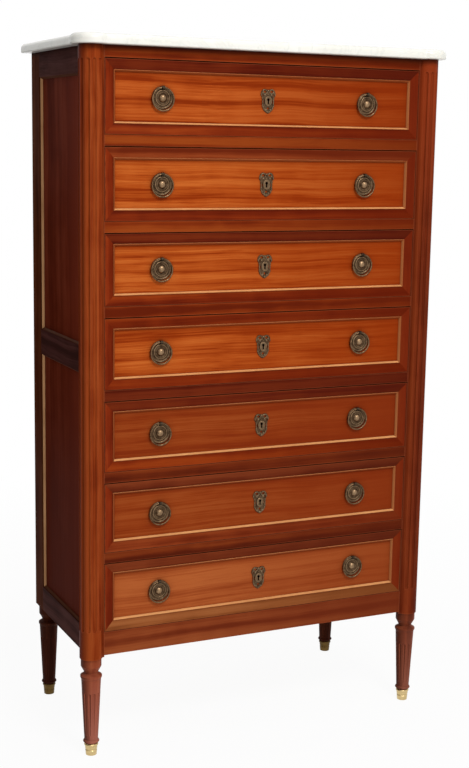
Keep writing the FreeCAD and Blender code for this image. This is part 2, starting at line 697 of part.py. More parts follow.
def make_runners():
    """Each runner carries one side of a drawer, and the guide on it keeps the drawer straight."""
    top = "(drawer_top - drawer_high + box_lift - runner_gap)"
    wall = "-(side_face - side_rail_thick)"
    start = "frame_front + rail_deep"
    bearer = slab("bearer", (wall, start, f"{top} - runner_thick"), ("-runner_inner", "rear_front", top))
    guide = slab("guide", (wall, start, top), ("-guide_inner", "rear_front", f"{top} + guide_high"))
    left = group("left_runner", [bearer, guide])
    pair = group("runner_pair", [left, mirrored("right_runner", left)])
    count = int(value("drawer_count"))
    keep(group("drawer_runners",
               [group(f"runners_{i + 1}", [pair], z=f"-drawer_pitch * {i}") for i in range(count)]))


middle_z = "(drawer_top - drawer_high / 2)"
panel_face = "(front_face + bevel_deep + panel_deep)"


def draw_tails(body, name, lift):
    """The dovetails of a drawer's front corner, wider at their tips, drawn as seen from the side."""
    sketch = new_sketch(body, "YZ_Plane", name, lift=lift)
    room = "((drawer_high - box_lift - box_drop) / tail_count)"
    tip = "front_back - tail_long"
    for i in range(int(value("tail_count"))):
        middle = f"(drawer_top - drawer_high + box_lift + {room} * {i + 0.5})"
        outline(sketch, [
            ("front_back", f"{middle} - tail_neck / 2"), ("front_back", f"{middle} + tail_neck / 2"),
            (tip, f"{middle} + tail_tip / 2"), (tip, f"{middle} - tail_tip / 2"),
        ])
    return sketch


def make_front():
    """A drawer front: bevelled border falling to a sunk panel, the way for the key, and at both ends
    the sockets that take the dovetails of the sides."""
    body = new_body("front")
    face = new_sketch(body, "XZ_Plane", "face", lift="-front_back")
    rectangle(face, "-drawer_half", "drawer_top - drawer_high", "drawer_half", "drawer_top")
    pad(body, face, "front_back - front_face")
    rim = new_sketch(body, "XZ_Plane", "rim", lift="-front_face")
    rectangle(rim, "-drawer_half + lip", "drawer_top - drawer_high + lip",
              "drawer_half - lip", "drawer_top - lip")
    sunk = new_sketch(body, "XZ_Plane", "sunk", lift="-front_face - bevel_deep")
    rectangle(sunk, "-panel_half_x", f"{middle_z} - panel_half_z",
              "panel_half_x", f"{middle_z} + panel_half_z")
    bevel = body.newObject("PartDesign::SubtractiveLoft", "bevel")
    bevel.Profile = rim
    bevel.Sections = [sunk]
    bevel.Ruled = True
    pocket(body, sunk, "panel_deep")
    keyway = new_sketch(body, "XZ_Plane", "keyway", lift="-front_face")
    ring_line(keyway, "0", f"{middle_z} + keyway_lift", "keyway_radius")
    pocket(body, keyway, "front_back - front_face + 1")
    slot = new_sketch(body, "XZ_Plane", "slot", lift="-front_face")
    rectangle(slot, "-keyway_slot", f"{middle_z} - keyway_drop", "keyway_slot",
              f"{middle_z} + keyway_lift")
    pocket(body, slot, "front_back - front_face + 1")
    for start in ("-drawer_half", "box_outer - box_board"):
        pocket(body, draw_tails(body, "sockets", start), "drawer_half - box_outer + box_board", back=True)
    return body


def make_box():
    """Two sides dovetailed to the front, a back that stands on the bottom, and a bottom held in
    grooves of the sides."""
    under = "(drawer_top - drawer_high + bottom_lift)"
    inner = "box_outer - box_board"
    side = new_body("drawer_side")
    section = new_sketch(side, "XZ_Plane", "section", lift="-front_back")
    groove_end = f"-({inner} + bottom_groove)"
    outline(section, [
        ("-box_outer", "drawer_top - drawer_high + box_lift"),
        (f"-({inner})", "drawer_top - drawer_high + box_lift"),
        (f"-({inner})", f"{under} - panel_play / 2"), (groove_end, f"{under} - panel_play / 2"),
        (groove_end, f"{under} + bottom_thick + panel_play / 2"),
        (f"-({inner})", f"{under} + bottom_thick + panel_play / 2"),
        (f"-({inner})", "drawer_top - box_drop"), ("-box_outer", "drawer_top - box_drop"),
    ])
    pad(side, section, "box_back - front_back", back=True)
    pad(side, draw_tails(side, "tails", "-box_outer"), "box_board")
    back = slab("drawer_back", (f"-({inner})", "box_back - box_board", f"{under} + bottom_thick"),
                (inner, "box_back", "drawer_top - box_drop - box_board / 2"))
    reach = f"({inner} + bottom_groove - panel_play)"
    bottom = slab("drawer_bottom", (f"-{reach}", "front_back", under),
                  (reach, "box_back", f"{under} + bottom_thick"))
    return [side, mirrored("other_side", side), back, bottom]


def make_drawer_fillet():
    return moulding_frame("fillet", "XZ_Plane", f"-{panel_face}", "+", "drawer_fillet_high",
                          lambda inset: (f"-panel_half_x + {inset}", f"{middle_z} - panel_half_z + {inset}",
                                         f"panel_half_x - {inset}", f"{middle_z} + panel_half_z - {inset}"))


def make_backplate():
    """A turned rosette with a domed boss, and the barrel at its top that holds the ring."""
    body = new_body("backplate")
    profile = new_sketch(body, "XZ_Plane", "profile")
    outline(profile, [
        ("0", "0"), ("plate_radius", "0"), ("plate_radius", "plate_edge"),
        ("plate_radius - rim_wide", "rim_high"), ("plate_radius - rim_wide - rim_fall", "plate_dish"),
        ("plate_bead + plate_bead_half", "plate_dish"), ("plate_bead - plate_bead_half", "plate_dish"),
        ("boss_foot", "plate_dish"), ("boss_radius", "boss_low"), ("0", "boss_low + boss_high"),
    ], {2: ("rim_wide", 1), 5: ("plate_bead_half * 1.1", 1), 7: ("boss_low - plate_dish + 1", -1),
        8: ("(pow(boss_radius; 2) + pow(boss_high; 2)) / (2 * boss_high)", 1)})
    turned(body, profile)
    barrel = new_sketch(body, "YZ_Plane", "barrel")
    top = "ring_radius - ring_drop"
    outline(barrel, [
        (f"{top} - knuckle_radius", "plate_dish / 2"), (f"{top} + knuckle_bore", "plate_dish / 2"),
        (f"{top} + knuckle_radius", "ring_stand"), (top, "ring_stand + knuckle_radius"),
        (f"{top} - knuckle_radius", "ring_stand"),
    ], {2: ("knuckle_radius", 1), 3: ("knuckle_radius", 1)})
    ears = pad(body, barrel, "2 * knuckle_half")
    ears.SideType = "Symmetric"
    bore = new_sketch(body, "YZ_Plane", "bore", lift="-2 * knuckle_half")
    ring_line(bore, top, "ring_stand", "knuckle_bore")
    pocket(body, bore, "4 * knuckle_half", back=True)
    return body


def make_escutcheon():
    """A cartouche plate: bow at the top, waist, garland and pointed foot, with a raised oval round the
    keyhole."""
    body = new_body("escutcheon")
    plate = new_sketch(body, "XZ_Plane", "plate")
    right = [(0.5, -0.86), (0.92, -0.5), (0.84, 0.1), (1.0, 0.56), (0.66, 0.98), (0.14, 0.9)]
    spots = [(f"{x} * escutcheon_half", f"{z} * escutcheon_half_z") for x, z in right]
    left = [(f"-({x})", z) for x, z in reversed(spots)]
    corners = [("0", "-escutcheon_half_z")] + spots + left
    knot = len(right)
    swell = {i: ("escutcheon_bow", 1) for i in range(len(corners)) if i != knot}
    outline(plate, corners, swell)
    pad(body, plate, "escutcheon_thick")
    medal = new_sketch(body, "XZ_Plane", "medal")
    outline(medal, [("0", "-medal_half_z"), ("medal_half", "0"), ("0", "medal_half_z"), ("-medal_half", "0")],
            {i: ("medal_bow", 1) for i in range(4)})
    pad(body, medal, "medal_high")
    hole = new_sketch(body, "XZ_Plane", "hole", lift="medal_high")
    ring_line(hole, "0", "key_radius", "key_radius")
    pocket(body, hole, "medal_high + 1")
    slot = new_sketch(body, "XZ_Plane", "slot", lift="medal_high")
    rectangle(slot, "-key_slot", "key_radius - key_drop", "key_slot", "key_radius")
    pocket(body, slot, "medal_high + 1")
    return place(body, y=panel_face, z=middle_z)


def make_lock():
    """The lock case behind the front, open at the top for its bolt, and the bolt."""
    top = "(drawer_top - lock_sunk)"
    case = slab("lock_body", ("-lock_half", "front_back", f"{top} - lock_high"),
                ("lock_half", "front_back + lock_thick", top))
    low_x, low_y, high_x, high_y = bolt_span("bolt_room")
    channel = slab("bolt_channel", (low_x, low_y, f"{top} - bolt_high - bolt_throw"),
                   (high_x, high_y, f"{top} + 1"))
    keyway = doc.addObject("Part::Cylinder", "lock_keyway")
    bind(keyway, Radius="keyway_radius", Height="lock_thick / 2")
    keyway.Placement = FreeCAD.Placement(FreeCAD.Vector(), FreeCAD.Rotation(FreeCAD.Vector(1, 0, 0), -90))
    place(keyway, y="front_back", z=f"{middle_z} + keyway_lift")
    low_x, low_y, high_x, high_y = bolt_span("0")
    tip = "(drawer_top - lock_sunk - bolt_sunk)"
    bolt = slab("bolt", (low_x, low_y, f"{tip} - bolt_high"), (high_x, high_y, tip))
    return cut_out("lock_case", case, [channel, keyway]), bolt


def face_front(thing, x, y, z):
    """Turns a piece drawn upwards to face the front, and places it."""
    thing.Placement = FreeCAD.Placement(FreeCAD.Vector(), FreeCAD.Rotation(FreeCAD.Vector(1, 0, 0), 90))
    return place(thing, x, y, z)


def make_drawers():
    """One drawer is drawn in the top place, and repeated down the chest."""
    front, box, fillet = make_front(), make_box(), make_drawer_fillet()
    case, bolt = make_lock()
    rosette = make_backplate()
    face_front(rosette, "-handle_x", panel_face, middle_z)
    ring = doc.addObject("Part::Torus", "ring")
    bind(ring, Radius1="ring_radius", Radius2="ring_wire")
    face_front(ring, "-handle_x", f"{panel_face} - ring_stand", f"{middle_z} - ring_drop")
    brassware = [fillet, rosette, mirrored("right_backplate", rosette), make_escutcheon(), case]
    parts = {"front": [front], "box": box, "brassware": brassware, "lock_bolt": [bolt],
             "ring_left": [ring], "ring_right": [mirrored("right_ring", ring)]}
    for i in range(int(value("drawer_count"))):
        for name, pieces in parts.items():
            keep(group(f"drawer_{i + 1}_{name}", pieces, z=f"-drawer_pitch * {i}"))


make_marble()
make_front_posts()
make_rear_posts()
make_legs()
make_front_rails()
make_sides()
make_back_and_boards()
make_runners()
make_drawers()
doc.recompute()

for thing in doc.Objects:
    if "Invalid" in thing.State or "Error" in thing.State:
        raise ValueError(f"{thing.Label} did not compute")
for node in nodes:
    if node.Shape.isNull() or not node.Shape.isValid():
        raise ValueError(f"{node.Label} has no valid shape")

os.makedirs("parts", exist_ok=True)
for node in nodes:
    node.Shape.exportStep(f"parts/{node.Label}.step")
    box = node.Shape.BoundBox
    reach = " ".join(f"{low:.1f}..{high:.1f}" for low, high in
                     ((box.XMin, box.XMax), (box.YMin, box.YMax), (box.ZMin, box.ZMax)))
    print(f"{node.Label}: {len(node.Shape.Solids)} solids, {reach}, {node.Shape.Volume / 1000:.1f} cm3")
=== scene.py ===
import bmesh
import bpy
import math
from mathutils import Matrix, Vector


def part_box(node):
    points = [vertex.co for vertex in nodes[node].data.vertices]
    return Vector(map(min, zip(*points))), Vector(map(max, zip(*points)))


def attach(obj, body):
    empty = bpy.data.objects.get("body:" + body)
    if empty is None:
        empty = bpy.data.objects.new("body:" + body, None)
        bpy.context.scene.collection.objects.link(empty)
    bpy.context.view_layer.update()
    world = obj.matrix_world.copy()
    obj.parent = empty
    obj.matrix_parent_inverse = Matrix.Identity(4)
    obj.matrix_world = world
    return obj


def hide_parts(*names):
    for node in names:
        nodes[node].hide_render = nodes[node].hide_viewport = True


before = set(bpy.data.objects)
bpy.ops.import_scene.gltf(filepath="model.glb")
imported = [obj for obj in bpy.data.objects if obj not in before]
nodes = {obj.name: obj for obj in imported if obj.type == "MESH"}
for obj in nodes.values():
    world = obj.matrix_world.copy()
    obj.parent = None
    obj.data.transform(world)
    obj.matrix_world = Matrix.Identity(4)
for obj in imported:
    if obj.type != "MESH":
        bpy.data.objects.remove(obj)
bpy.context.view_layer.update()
drawerNumbers = range(1, 8)
mm = 0.001
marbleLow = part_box("marble_top")[0].z
print("frame loaded:", len(nodes), "nodes")


# small helpers for node trees

def rgb(red, green, blue):
    # screen tones of 0 to 255 as linear light
    parts = [c / 255 for c in (red, green, blue)]
    return tuple(c / 12.92 if c <= 0.04045 else ((c + 0.055) / 1.055) ** 2.4 for c in parts) + (1,)


def addNode(tree, kind, inputs=None, **settings):
    # an input that is a socket is linked, any other is set
    node = tree.nodes.new("ShaderNode" + kind)
    for name, setting in settings.items():
        setattr(node, name, setting)
    for socket, source in (inputs or {}).items():
        if isinstance(source, bpy.types.NodeSocket):
            tree.links.new(source, node.inputs[socket])
        else:
            node.inputs[socket].default_value = source
    return node


def blankFinish(name):
    mat = bpy.data.materials.new(name)
    mat.use_nodes = True
    tree = mat.node_tree
    tree.nodes.clear()
    skin = addNode(tree, "BsdfPrincipled")
    addNode(tree, "OutputMaterial", {"Surface": skin.outputs[0]})
    return mat, tree, skin


def maths(tree, operation, a, b=0.5, clamp=False):
    return addNode(tree, "Math", {0: a, 1: b}, operation=operation, use_clamp=clamp).outputs[0]


def vectors(tree, operation, a, b):
    return addNode(tree, "VectorMath", {0: a, 1: b}, operation=operation).outputs


def spread(tree, value, start, end, low=0, high=1):
    # carries a value from start..end over to low..high
    return addNode(tree, "MapRange", {0: value, 1: start, 2: end, 3: low, 4: high}).outputs[0]


def noise(tree, vector, scale, detail, roughness=0.5):
    inputs = {"Vector": vector, "Scale": scale, "Detail": detail, "Roughness": roughness}
    return addNode(tree, "TexNoise", inputs).outputs


def ramp(tree, factor, stops):
    node = addNode(tree, "ValToRGB", {0: factor})
    band = node.color_ramp
    while len(band.elements) < len(stops):
        band.elements.new(0.5)
    for element, (place, colour) in zip(band.elements, stops):
        element.position = place
        element.color = colour
    return node.outputs[0]


def mixColour(tree, factor, a, b):
    return addNode(tree, "Mix", {0: factor, 6: a, 7: b}, data_type="RGBA").outputs[2]


def facingShare(tree, way, start, full):
    # goes from 0 to 1 as a face turns towards the way
    normal = addNode(tree, "NewGeometry").outputs["Normal"]
    facing = vectors(tree, "DOT_PRODUCT", normal, way)["Value"]
    return spread(tree, facing, start, full)


# mahogany: ribbons along the grain, finer streaks, pores, rubbed arrises and painted shade in corners
# rubbed arrises are also a painted highlight; darker and lighter tone copies are painted light and shade
mahogany = {
    "topPanel": {"dark": rgb(132, 43, 5), "mid": rgb(170, 72, 20), "pale": rgb(190, 92, 35)},
    "panel": {"dark": rgb(140, 47, 5), "mid": rgb(176, 77, 22), "pale": rgb(196, 99, 38)},
    "lowPanel": {"dark": rgb(129, 45, 11), "mid": rgb(144, 59, 18), "pale": rgb(156, 72, 28)},
    "footPanel": {"dark": rgb(142, 60, 22), "mid": rgb(164, 79, 36), "pale": rgb(179, 94, 46)},
    "border": {"dark": rgb(96, 24, 3), "mid": rgb(124, 40, 8), "pale": rgb(144, 55, 14)},
    "lowBorder": {"dark": rgb(104, 34, 10), "mid": rgb(132, 53, 21), "pale": rgb(150, 68, 31)},
    "footBorder": {"dark": rgb(116, 60, 26), "mid": rgb(149, 84, 43), "pale": rgb(160, 95, 52)},
    "topBorder": {"dark": rgb(74, 16, 4), "mid": rgb(98, 29, 9), "pale": rgb(116, 42, 14)},
    "lowTopBorder": {"dark": rgb(84, 27, 9), "mid": rgb(107, 41, 17), "pale": rgb(126, 55, 26)},
    "stile": {"dark": rgb(106, 30, 6), "mid": rgb(132, 44, 13), "pale": rgb(150, 60, 22)},
    "rail": {"dark": rgb(98, 28, 5), "mid": rgb(128, 46, 11), "pale": rgb(148, 64, 20)},
    "lowRail": {"dark": rgb(84, 26, 7), "mid": rgb(110, 40, 13), "pale": rgb(128, 54, 20)},
    "darkRail": {"dark": rgb(70, 15, 3), "mid": rgb(90, 26, 8), "pale": rgb(108, 38, 14)},
    "apron": {"dark": rgb(108, 40, 16), "mid": rgb(134, 60, 28), "pale": rgb(150, 75, 38)},
    "post": {"dark": rgb(106, 34, 8), "mid": rgb(135, 51, 14), "pale": rgb(155, 69, 27)},
    "rightPost": {"dark": rgb(88, 28, 8), "mid": rgb(111, 39, 14), "pale": rgb(128, 52, 22)},
    "rearPost": {"dark": rgb(56, 22, 8), "mid": rgb(76, 34, 15), "pale": rgb(90, 46, 24)},
    "leg": {"dark": rgb(108, 42, 18), "mid": rgb(136, 58, 28), "pale": rgb(154, 76, 43)},
    "rightLeg": {"dark": rgb(94, 37, 16), "mid": rgb(119, 51, 26), "pale": rgb(136, 67, 39)},
    "rearLeg": {"dark": rgb(48, 19, 9), "mid": rgb(64, 28, 15), "pale": rgb(78, 38, 23)},
    "side": {"dark": rgb(82, 26, 12), "mid": rgb(100, 37, 20), "pale": rgb(116, 49, 30)},
    "sideRail": {"dark": rgb(54, 28, 24), "mid": rgb(71, 39, 35), "pale": rgb(86, 51, 46)},
    "inside": {"dark": rgb(146, 106, 64), "mid": rgb(174, 133, 86), "pale": rgb(196, 157, 108)},
}
figurePlan = {
    "stretch": {"x": (0.014, 1, 1), "y": (1, 0.014, 1), "z": (1, 1, 0.014)}, "seedStep": (1.7, 2.3, 3.1),
    "drift": 4, "bandPitch": 0.31, "bandWave": 5, "ribbonShare": 0.5, "streakPitch": 7, "flame": 14,
    "pore": 900, "poreOpen": (0.56, 0.7), "poreShare": 0.3, "toneAt": (0.4, 0.5, 0.6), "relief": 0.0003,
    "sheenAt": (0.3, 0.7), "sheenStep": (0.06, -0.04), "reliefShare": 0.25,
}
# rubbed edges are wear and painted highlight; the corner, under-marble and right-end tones are painted shade
wearAndPaintedLight = {
    "arrisTone": rgb(178, 92, 56), "arrisOpen": (0.5, 0.95), "cornerShadeTone": rgb(58, 14, 4), "corner": 18,
    "cornerOpen": (0.3, 0.9), "marbleShadowTone": rgb(34, 11, 5), "marbleShadowLine": (11, 2), "marbleShadowShare": 0.75,
    "rightShadeSpan": (-0.15, 0.35), "paintedBlendShare": 0.8,
}


def woodFinish(name, tones, grain, seed, figure=34, band=0.12, streak=0.25, mottle=0.2, sway=0.03,
               polish=0.42, gloss=0.03, wearAndHighlight=0.5, arris=1.4, rightShade=0, cornerShade=0.8, paintedBlends=(), turnedShade=None):
    # band, streak, mottle: shares in the figure; sway: how far its lines wander
    # wearAndHighlight, arris: share and width of the rubbed edges, lighter as wear and as painted highlight
    # rightShade, cornerShade: shares of painted shade at the right end and in the corners
    # turnedShade: painted shade on faces turned one way: its tone, that way, and where it starts and is full
    # paintedBlends: axis, other tone, where it is full and gone; painted light and shade along an axis
    mat, tree, skin = blankFinish(name)
    plan = figurePlan
    place = addNode(tree, "TexCoord").outputs["Object"]
    moved = vectors(tree, "ADD", place, [seed * step for step in plan["seedStep"]])[0]
    drift = noise(tree, moved, plan["drift"], 1)["Color"]
    centred = vectors(tree, "SUBTRACT", drift, (0.5, 0.5, 0.5))[0]
    eased = addNode(tree, "VectorMath", {0: centred, "Scale": sway}, operation="SCALE").outputs[0]
    swayed = vectors(tree, "ADD", moved, eased)[0]
    along = addNode(tree, "Mapping", {"Vector": swayed, "Scale": plan["stretch"][grain]}).outputs[0]
    waves = {"Vector": along, "Scale": figure * plan["bandPitch"], "Distortion": plan["bandWave"],
             "Detail": 2, "Detail Scale": 1.6, "Detail Roughness": 0.5}
    bands = addNode(tree, "TexWave", waves, bands_direction="X" if grain == "z" else "Z").outputs["Fac"]
    ribbons = noise(tree, along, figure, 2, 0.45)[0]
    streaks = noise(tree, along, figure * plan["streakPitch"], 4, 0.6)[0]
    pores = noise(tree, along, plan["pore"], 2)[0]
    flame = noise(tree, moved, plan["flame"], 2)[0]
    tone = 0.5
    for part, share in ((bands, band), (ribbons, plan["ribbonShare"]), (streaks, streak), (flame, mottle)):
        tone = maths(tree, "ADD", maths(tree, "MULTIPLY", maths(tree, "SUBTRACT", part, 0.5), share), tone)
    colour = ramp(tree, tone, list(zip(plan["toneAt"], (tones["dark"], tones["mid"], tones["pale"]))))
    openPores = spread(tree, pores, *plan["poreOpen"], 0, plan["poreShare"])
    colour = mixColour(tree, openPores, colour, tones["dark"])
    axes = addNode(tree, "SeparateXYZ", {0: place}).outputs
    # painted shade: darker towards the right end
    colour = mixColour(tree, spread(tree, axes[0], *wearAndPaintedLight["rightShadeSpan"], 0, rightShade), colour, tones["dark"])
    # painted light and shade: another tone along an axis, full at one place and gone at another
    for axis, other, full, gone in paintedBlends:
        colour = mixColour(tree, spread(tree, axes[axis], full, gone, wearAndPaintedLight["paintedBlendShare"], 0), colour, other)
    # painted shade on the faces turned one way
    if turnedShade:
        darker, way, start, full = turnedShade
        colour = mixColour(tree, facingShare(tree, way, start, full), colour, darker)
    # lighter rubbed edges: wear, and a painted highlight along the arrises
    edges = addNode(tree, "AmbientOcclusion", {"Distance": arris * mm}, samples=4,
                    inside=True, only_local=True)
    rubbedAndHighlit = spread(tree, edges.outputs["AO"], *wearAndPaintedLight["arrisOpen"], wearAndHighlight, 0)
    colour = mixColour(tree, rubbedAndHighlit, colour, wearAndPaintedLight["arrisTone"])
    # painted shade in corners, creases and gaps, from ambient occlusion
    corners = addNode(tree, "AmbientOcclusion", {"Distance": wearAndPaintedLight["corner"] * mm}, samples=4)
    cornerShaded = spread(tree, corners.outputs["AO"], *wearAndPaintedLight["cornerOpen"], cornerShade, 0)
    colour = mixColour(tree, cornerShaded, colour, wearAndPaintedLight["cornerShadeTone"])
    # painted shadow of the marble top: a dark band on the wood just under it
    start, end = (marbleLow - reach * mm for reach in wearAndPaintedLight["marbleShadowLine"])
    colour = mixColour(tree, spread(tree, axes[2], start, end, 0, wearAndPaintedLight["marbleShadowShare"]), colour, wearAndPaintedLight["marbleShadowTone"])
    tree.links.new(colour, skin.inputs["Base Color"])
    dull, bright = (polish + step for step in plan["sheenStep"])
    sheen = spread(tree, streaks, *plan["sheenAt"], dull, bright)
    tree.links.new(sheen, skin.inputs["Roughness"])
    sunk = maths(tree, "MULTIPLY", openPores, -1)
    relief = maths(tree, "ADD", maths(tree, "MULTIPLY", streaks, 0.5), sunk)
    bump = addNode(tree, "Bump", {"Height": relief, "Strength": plan["reliefShare"],
                                  "Distance": plan["relief"]})
    tree.links.new(bump.outputs[0], skin.inputs["Normal"])
    skin.inputs["Specular IOR Level"].default_value = gloss
    return mat


# metals: clouds of wear, dark recesses, a fine cast grain
castPlan = {"grain": 1800, "relief": 0.0002, "reliefShare": 0.12, "cloudShare": 0.45, "recessShare": 0.75,
            "duller": 0.2}


def metalFinish(name, clean, dull, roughness, patch=60, wear=(0.35, 0.7), metallic=1, gloss=0.5,
                raised=None, slopeShade=None):
    # raised: front-to-back places between which the metal goes from dark recess to rubbed height
    # slopeShade: painted shade on faces turned one way: its tone, that way, and where it starts and is full
    mat, tree, skin = blankFinish(name)
    place = addNode(tree, "TexCoord").outputs["Object"]
    cloud = noise(tree, place, patch, 5, 0.65)[0]
    grain = noise(tree, place, castPlan["grain"], 2)[0]
    aged = spread(tree, cloud, *wear)
    if raised:
        depth = addNode(tree, "SeparateXYZ", {0: place}).outputs[1]
        recess = maths(tree, "MULTIPLY", spread(tree, depth, *raised, 1, 0), castPlan["recessShare"])
        clouded = maths(tree, "MULTIPLY", aged, castPlan["cloudShare"])
        aged = maths(tree, "ADD", clouded, recess, clamp=True)
    colour = mixColour(tree, aged, clean, dull)
    # painted shade on the faces turned that way
    if slopeShade:
        tone, way, start, full = slopeShade
        colour = mixColour(tree, facingShare(tree, way, start, full), colour, tone)
    tree.links.new(colour, skin.inputs["Base Color"])
    sheen = spread(tree, aged, 0, 1, roughness, roughness + castPlan["duller"])
    tree.links.new(sheen, skin.inputs["Roughness"])
    bump = addNode(tree, "Bump", {"Height": grain, "Strength": castPlan["reliefShare"],
                                  "Distance": castPlan["relief"]})
    tree.links.new(bump.outputs[0], skin.inputs["Normal"])
    skin.inputs["Metallic"].default_value = metallic
    skin.inputs["Specular IOR Level"].default_value = gloss
    return mat


# marble: faint clouds and thin veins
marble = {
    "drift": {"Scale": 3.2, "Detail": 6, "Roughness": 0.62, "Distortion": 1.2}, "veins": (5, 4),
    "clouds": [(0.3, rgb(232, 230, 220)), (0.55, rgb(241, 239, 231)), (0.8, rgb(244, 243, 237))],
    "veinTone": rgb(222, 222, 214), "veinWide": 0.05, "veinShare": 0.5, "polish": 0.22,
    "depth": 0.08, "depthReach": (0.006, 0.005, 0.004),
}


def marbleFinish(name):
    mat, tree, skin = blankFinish(name)
    place = addNode(tree, "TexCoord").outputs["Object"]
    drift = addNode(tree, "TexNoise", {"Vector": place, **marble["drift"]}).outputs
    veins = noise(tree, drift["Color"], *marble["veins"])[0]
    line = maths(tree, "ABSOLUTE", maths(tree, "SUBTRACT", veins, 0.5))
    thin = spread(tree, line, 0, marble["veinWide"], marble["veinShare"], 0)
    cloud = ramp(tree, drift[0], marble["clouds"])
    tree.links.new(mixColour(tree, thin, cloud, marble["veinTone"]), skin.inputs["Base Color"])
    skin.inputs["Roughness"].default_value = marble["polish"]
    skin.inputs["Subsurface Weight"].default_value = marble["depth"]
    skin.inputs["Subsurface Radius"].default_value = marble["depthReach"]
    return mat


def dress(piece, *finishes):
    piece.data.materials.clear()
    for finish in finishes:
        piece.data.materials.append(finish)


def dressPart(piece, finish, chosen):
    # puts one more finish on the faces that are chosen by their middle
    piece.data.materials.append(finish)
    for face in piece.data.polygons:
        if chosen(face.center):
            face.material_index = len(piece.data.materials) - 1


# metals of the fittings
brass = metalFinish("sabotBrass", rgb(222, 198, 146), rgb(184, 158, 104), 0.26, patch=40, wear=(0.25, 0.85))
# the rear sabots' brass is a darker copy: painted shade under the chest
rearBrass = metalFinish("rearSabotBrass", rgb(112, 88, 48), rgb(76, 58, 30), 0.4, patch=40, wear=(0.25, 0.85))
# painted shade on the fillet slopes that face down and right, and on side fillets that face back
gilt = metalFinish("filletBrass", rgb(237, 174, 112), rgb(213, 149, 92), 0.45, patch=14, metallic=0.12,
                   slopeShade=(rgb(146, 70, 27), (0.35, 0, -0.85), -0.75, -0.15), gloss=0.15)
# the side fillets' brass is a darker copy: painted shade
sideGilt = metalFinish("sideFilletBrass", rgb(214, 162, 114), rgb(182, 132, 90), 0.5, patch=9, metallic=0,
                       slopeShade=(rgb(84, 46, 28), (0, 1, 0), -0.6, -0.2), gloss=0.02)
bronze = metalFinish("agedBronze", rgb(152, 124, 94), rgb(60, 43, 29), 0.34, patch=160,
                     raised=(-0.1712, -0.1742))
ringBronze = metalFinish("ringBronze", rgb(130, 103, 75), rgb(68, 49, 33), 0.34, patch=160)
# a darker bronze on the ring's barrel: painted shade at the knuckle
knuckleBronze = metalFinish("knuckleBronze", rgb(78, 66, 52), rgb(36, 28, 22), 0.42, patch=160)
steel = metalFinish("lockSteel", rgb(140, 138, 134), rgb(84, 80, 76), 0.35)

# woods of the carcase: straight grain across the front; posts get painted shade at the inner edge
# legs get a pale painted reflection at the foot; the reaches place more painted light and shade
carcase = {"gapShadeTone": rgb(66, 15, 4), "outerEdge": 12, "leftGapShade": 5, "rightGapShade": 6,
           "postReach": (1.36, 1.1), "legReach": (0.05, 0.22), "sideDepth": (-0.17, 0.02),
           "sideRise": (0.3, 1)}
straight = 0.012
towardsLeft, towardsRight = (-1, 0, 0), (1, 0, 0)
outerLeft, innerLeft = (corner.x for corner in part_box("front_left_post"))
insideWood = woodFinish("drawerLining", mahogany["inside"], "y", 5, figure=18, polish=0.55, wearAndHighlight=0)
boxBackWood = woodFinish("drawerBackLining", mahogany["inside"], "x", 11, figure=18, polish=0.55, wearAndHighlight=0)
backWood = woodFinish("backBoard", mahogany["inside"], "z", 9, figure=14, polish=0.6, wearAndHighlight=0)
# rails: painted shade towards the right end; the lower dividers use darker copies, painted shade
railWood = woodFinish("railMahogany", mahogany["rail"], "x", 2, rightShade=0.7, sway=straight)
darkRailWood = woodFinish("darkRailMahogany", mahogany["darkRail"], "x", 2, rightShade=0.5, sway=straight)
lowRailWood = woodFinish("lowRailMahogany", mahogany["lowRail"], "x", 4, rightShade=0.7, sway=straight)
apronWood = woodFinish("apronMahogany", mahogany["apron"], "x", 12, rightShade=0.8, sway=straight)
# posts: painted shade at the outer left edge and along the gap beside the drawers
postWood = woodFinish("postMahogany", mahogany["post"], "z", 3, arris=2.6, wearAndHighlight=0.35, cornerShade=0.25,
                      paintedBlends=((0, rgb(96, 31, 12), outerLeft, outerLeft + carcase["outerEdge"] * mm),
                              (0, carcase["gapShadeTone"], innerLeft, innerLeft - carcase["leftGapShade"] * mm)))
# right post: darker tones, painted light at the top, painted shade at the gap and on faces turned right
rightPostWood = woodFinish("rightPostMahogany", mahogany["rightPost"], "z", 5, arris=2.6, wearAndHighlight=0.35, cornerShade=0.35,
                           paintedBlends=((2, rgb(140, 53, 21), *carcase["postReach"]),
                                   (0, carcase["gapShadeTone"], -innerLeft,
                                    carcase["rightGapShade"] * mm - innerLeft)),
                           turnedShade=(rgb(52, 20, 8), towardsRight, 0.55, 0.85))
# rear posts: dark tones, painted shade
rearPostWood = woodFinish("rearPostMahogany", mahogany["rearPost"], "z", 7, gloss=0.002, wearAndHighlight=0.1)
# legs: a pale painted reflection towards the foot, painted shade on faces turned left; right legs darker
legWood = woodFinish("legMahogany", mahogany["leg"], "z", 3, gloss=0.05, wearAndHighlight=0.2, cornerShade=0.7,
                     paintedBlends=((2, rgb(172, 104, 88), *carcase["legReach"]),),
                     turnedShade=(rgb(92, 42, 26), towardsLeft, 0.3, 1))
rightLegWood = woodFinish("rightLegMahogany", mahogany["rightLeg"], "z", 3, gloss=0.05, wearAndHighlight=0.2, cornerShade=0.7,
                          paintedBlends=((2, rgb(142, 83, 65), *carcase["legReach"]),),
                          turnedShade=(rgb(84, 38, 24), towardsLeft, 0.4, 1))
# rear legs: dark tones, painted shade
rearLegWood = woodFinish("rearLegMahogany", mahogany["rearLeg"], "z", 3, wearAndHighlight=0.1)
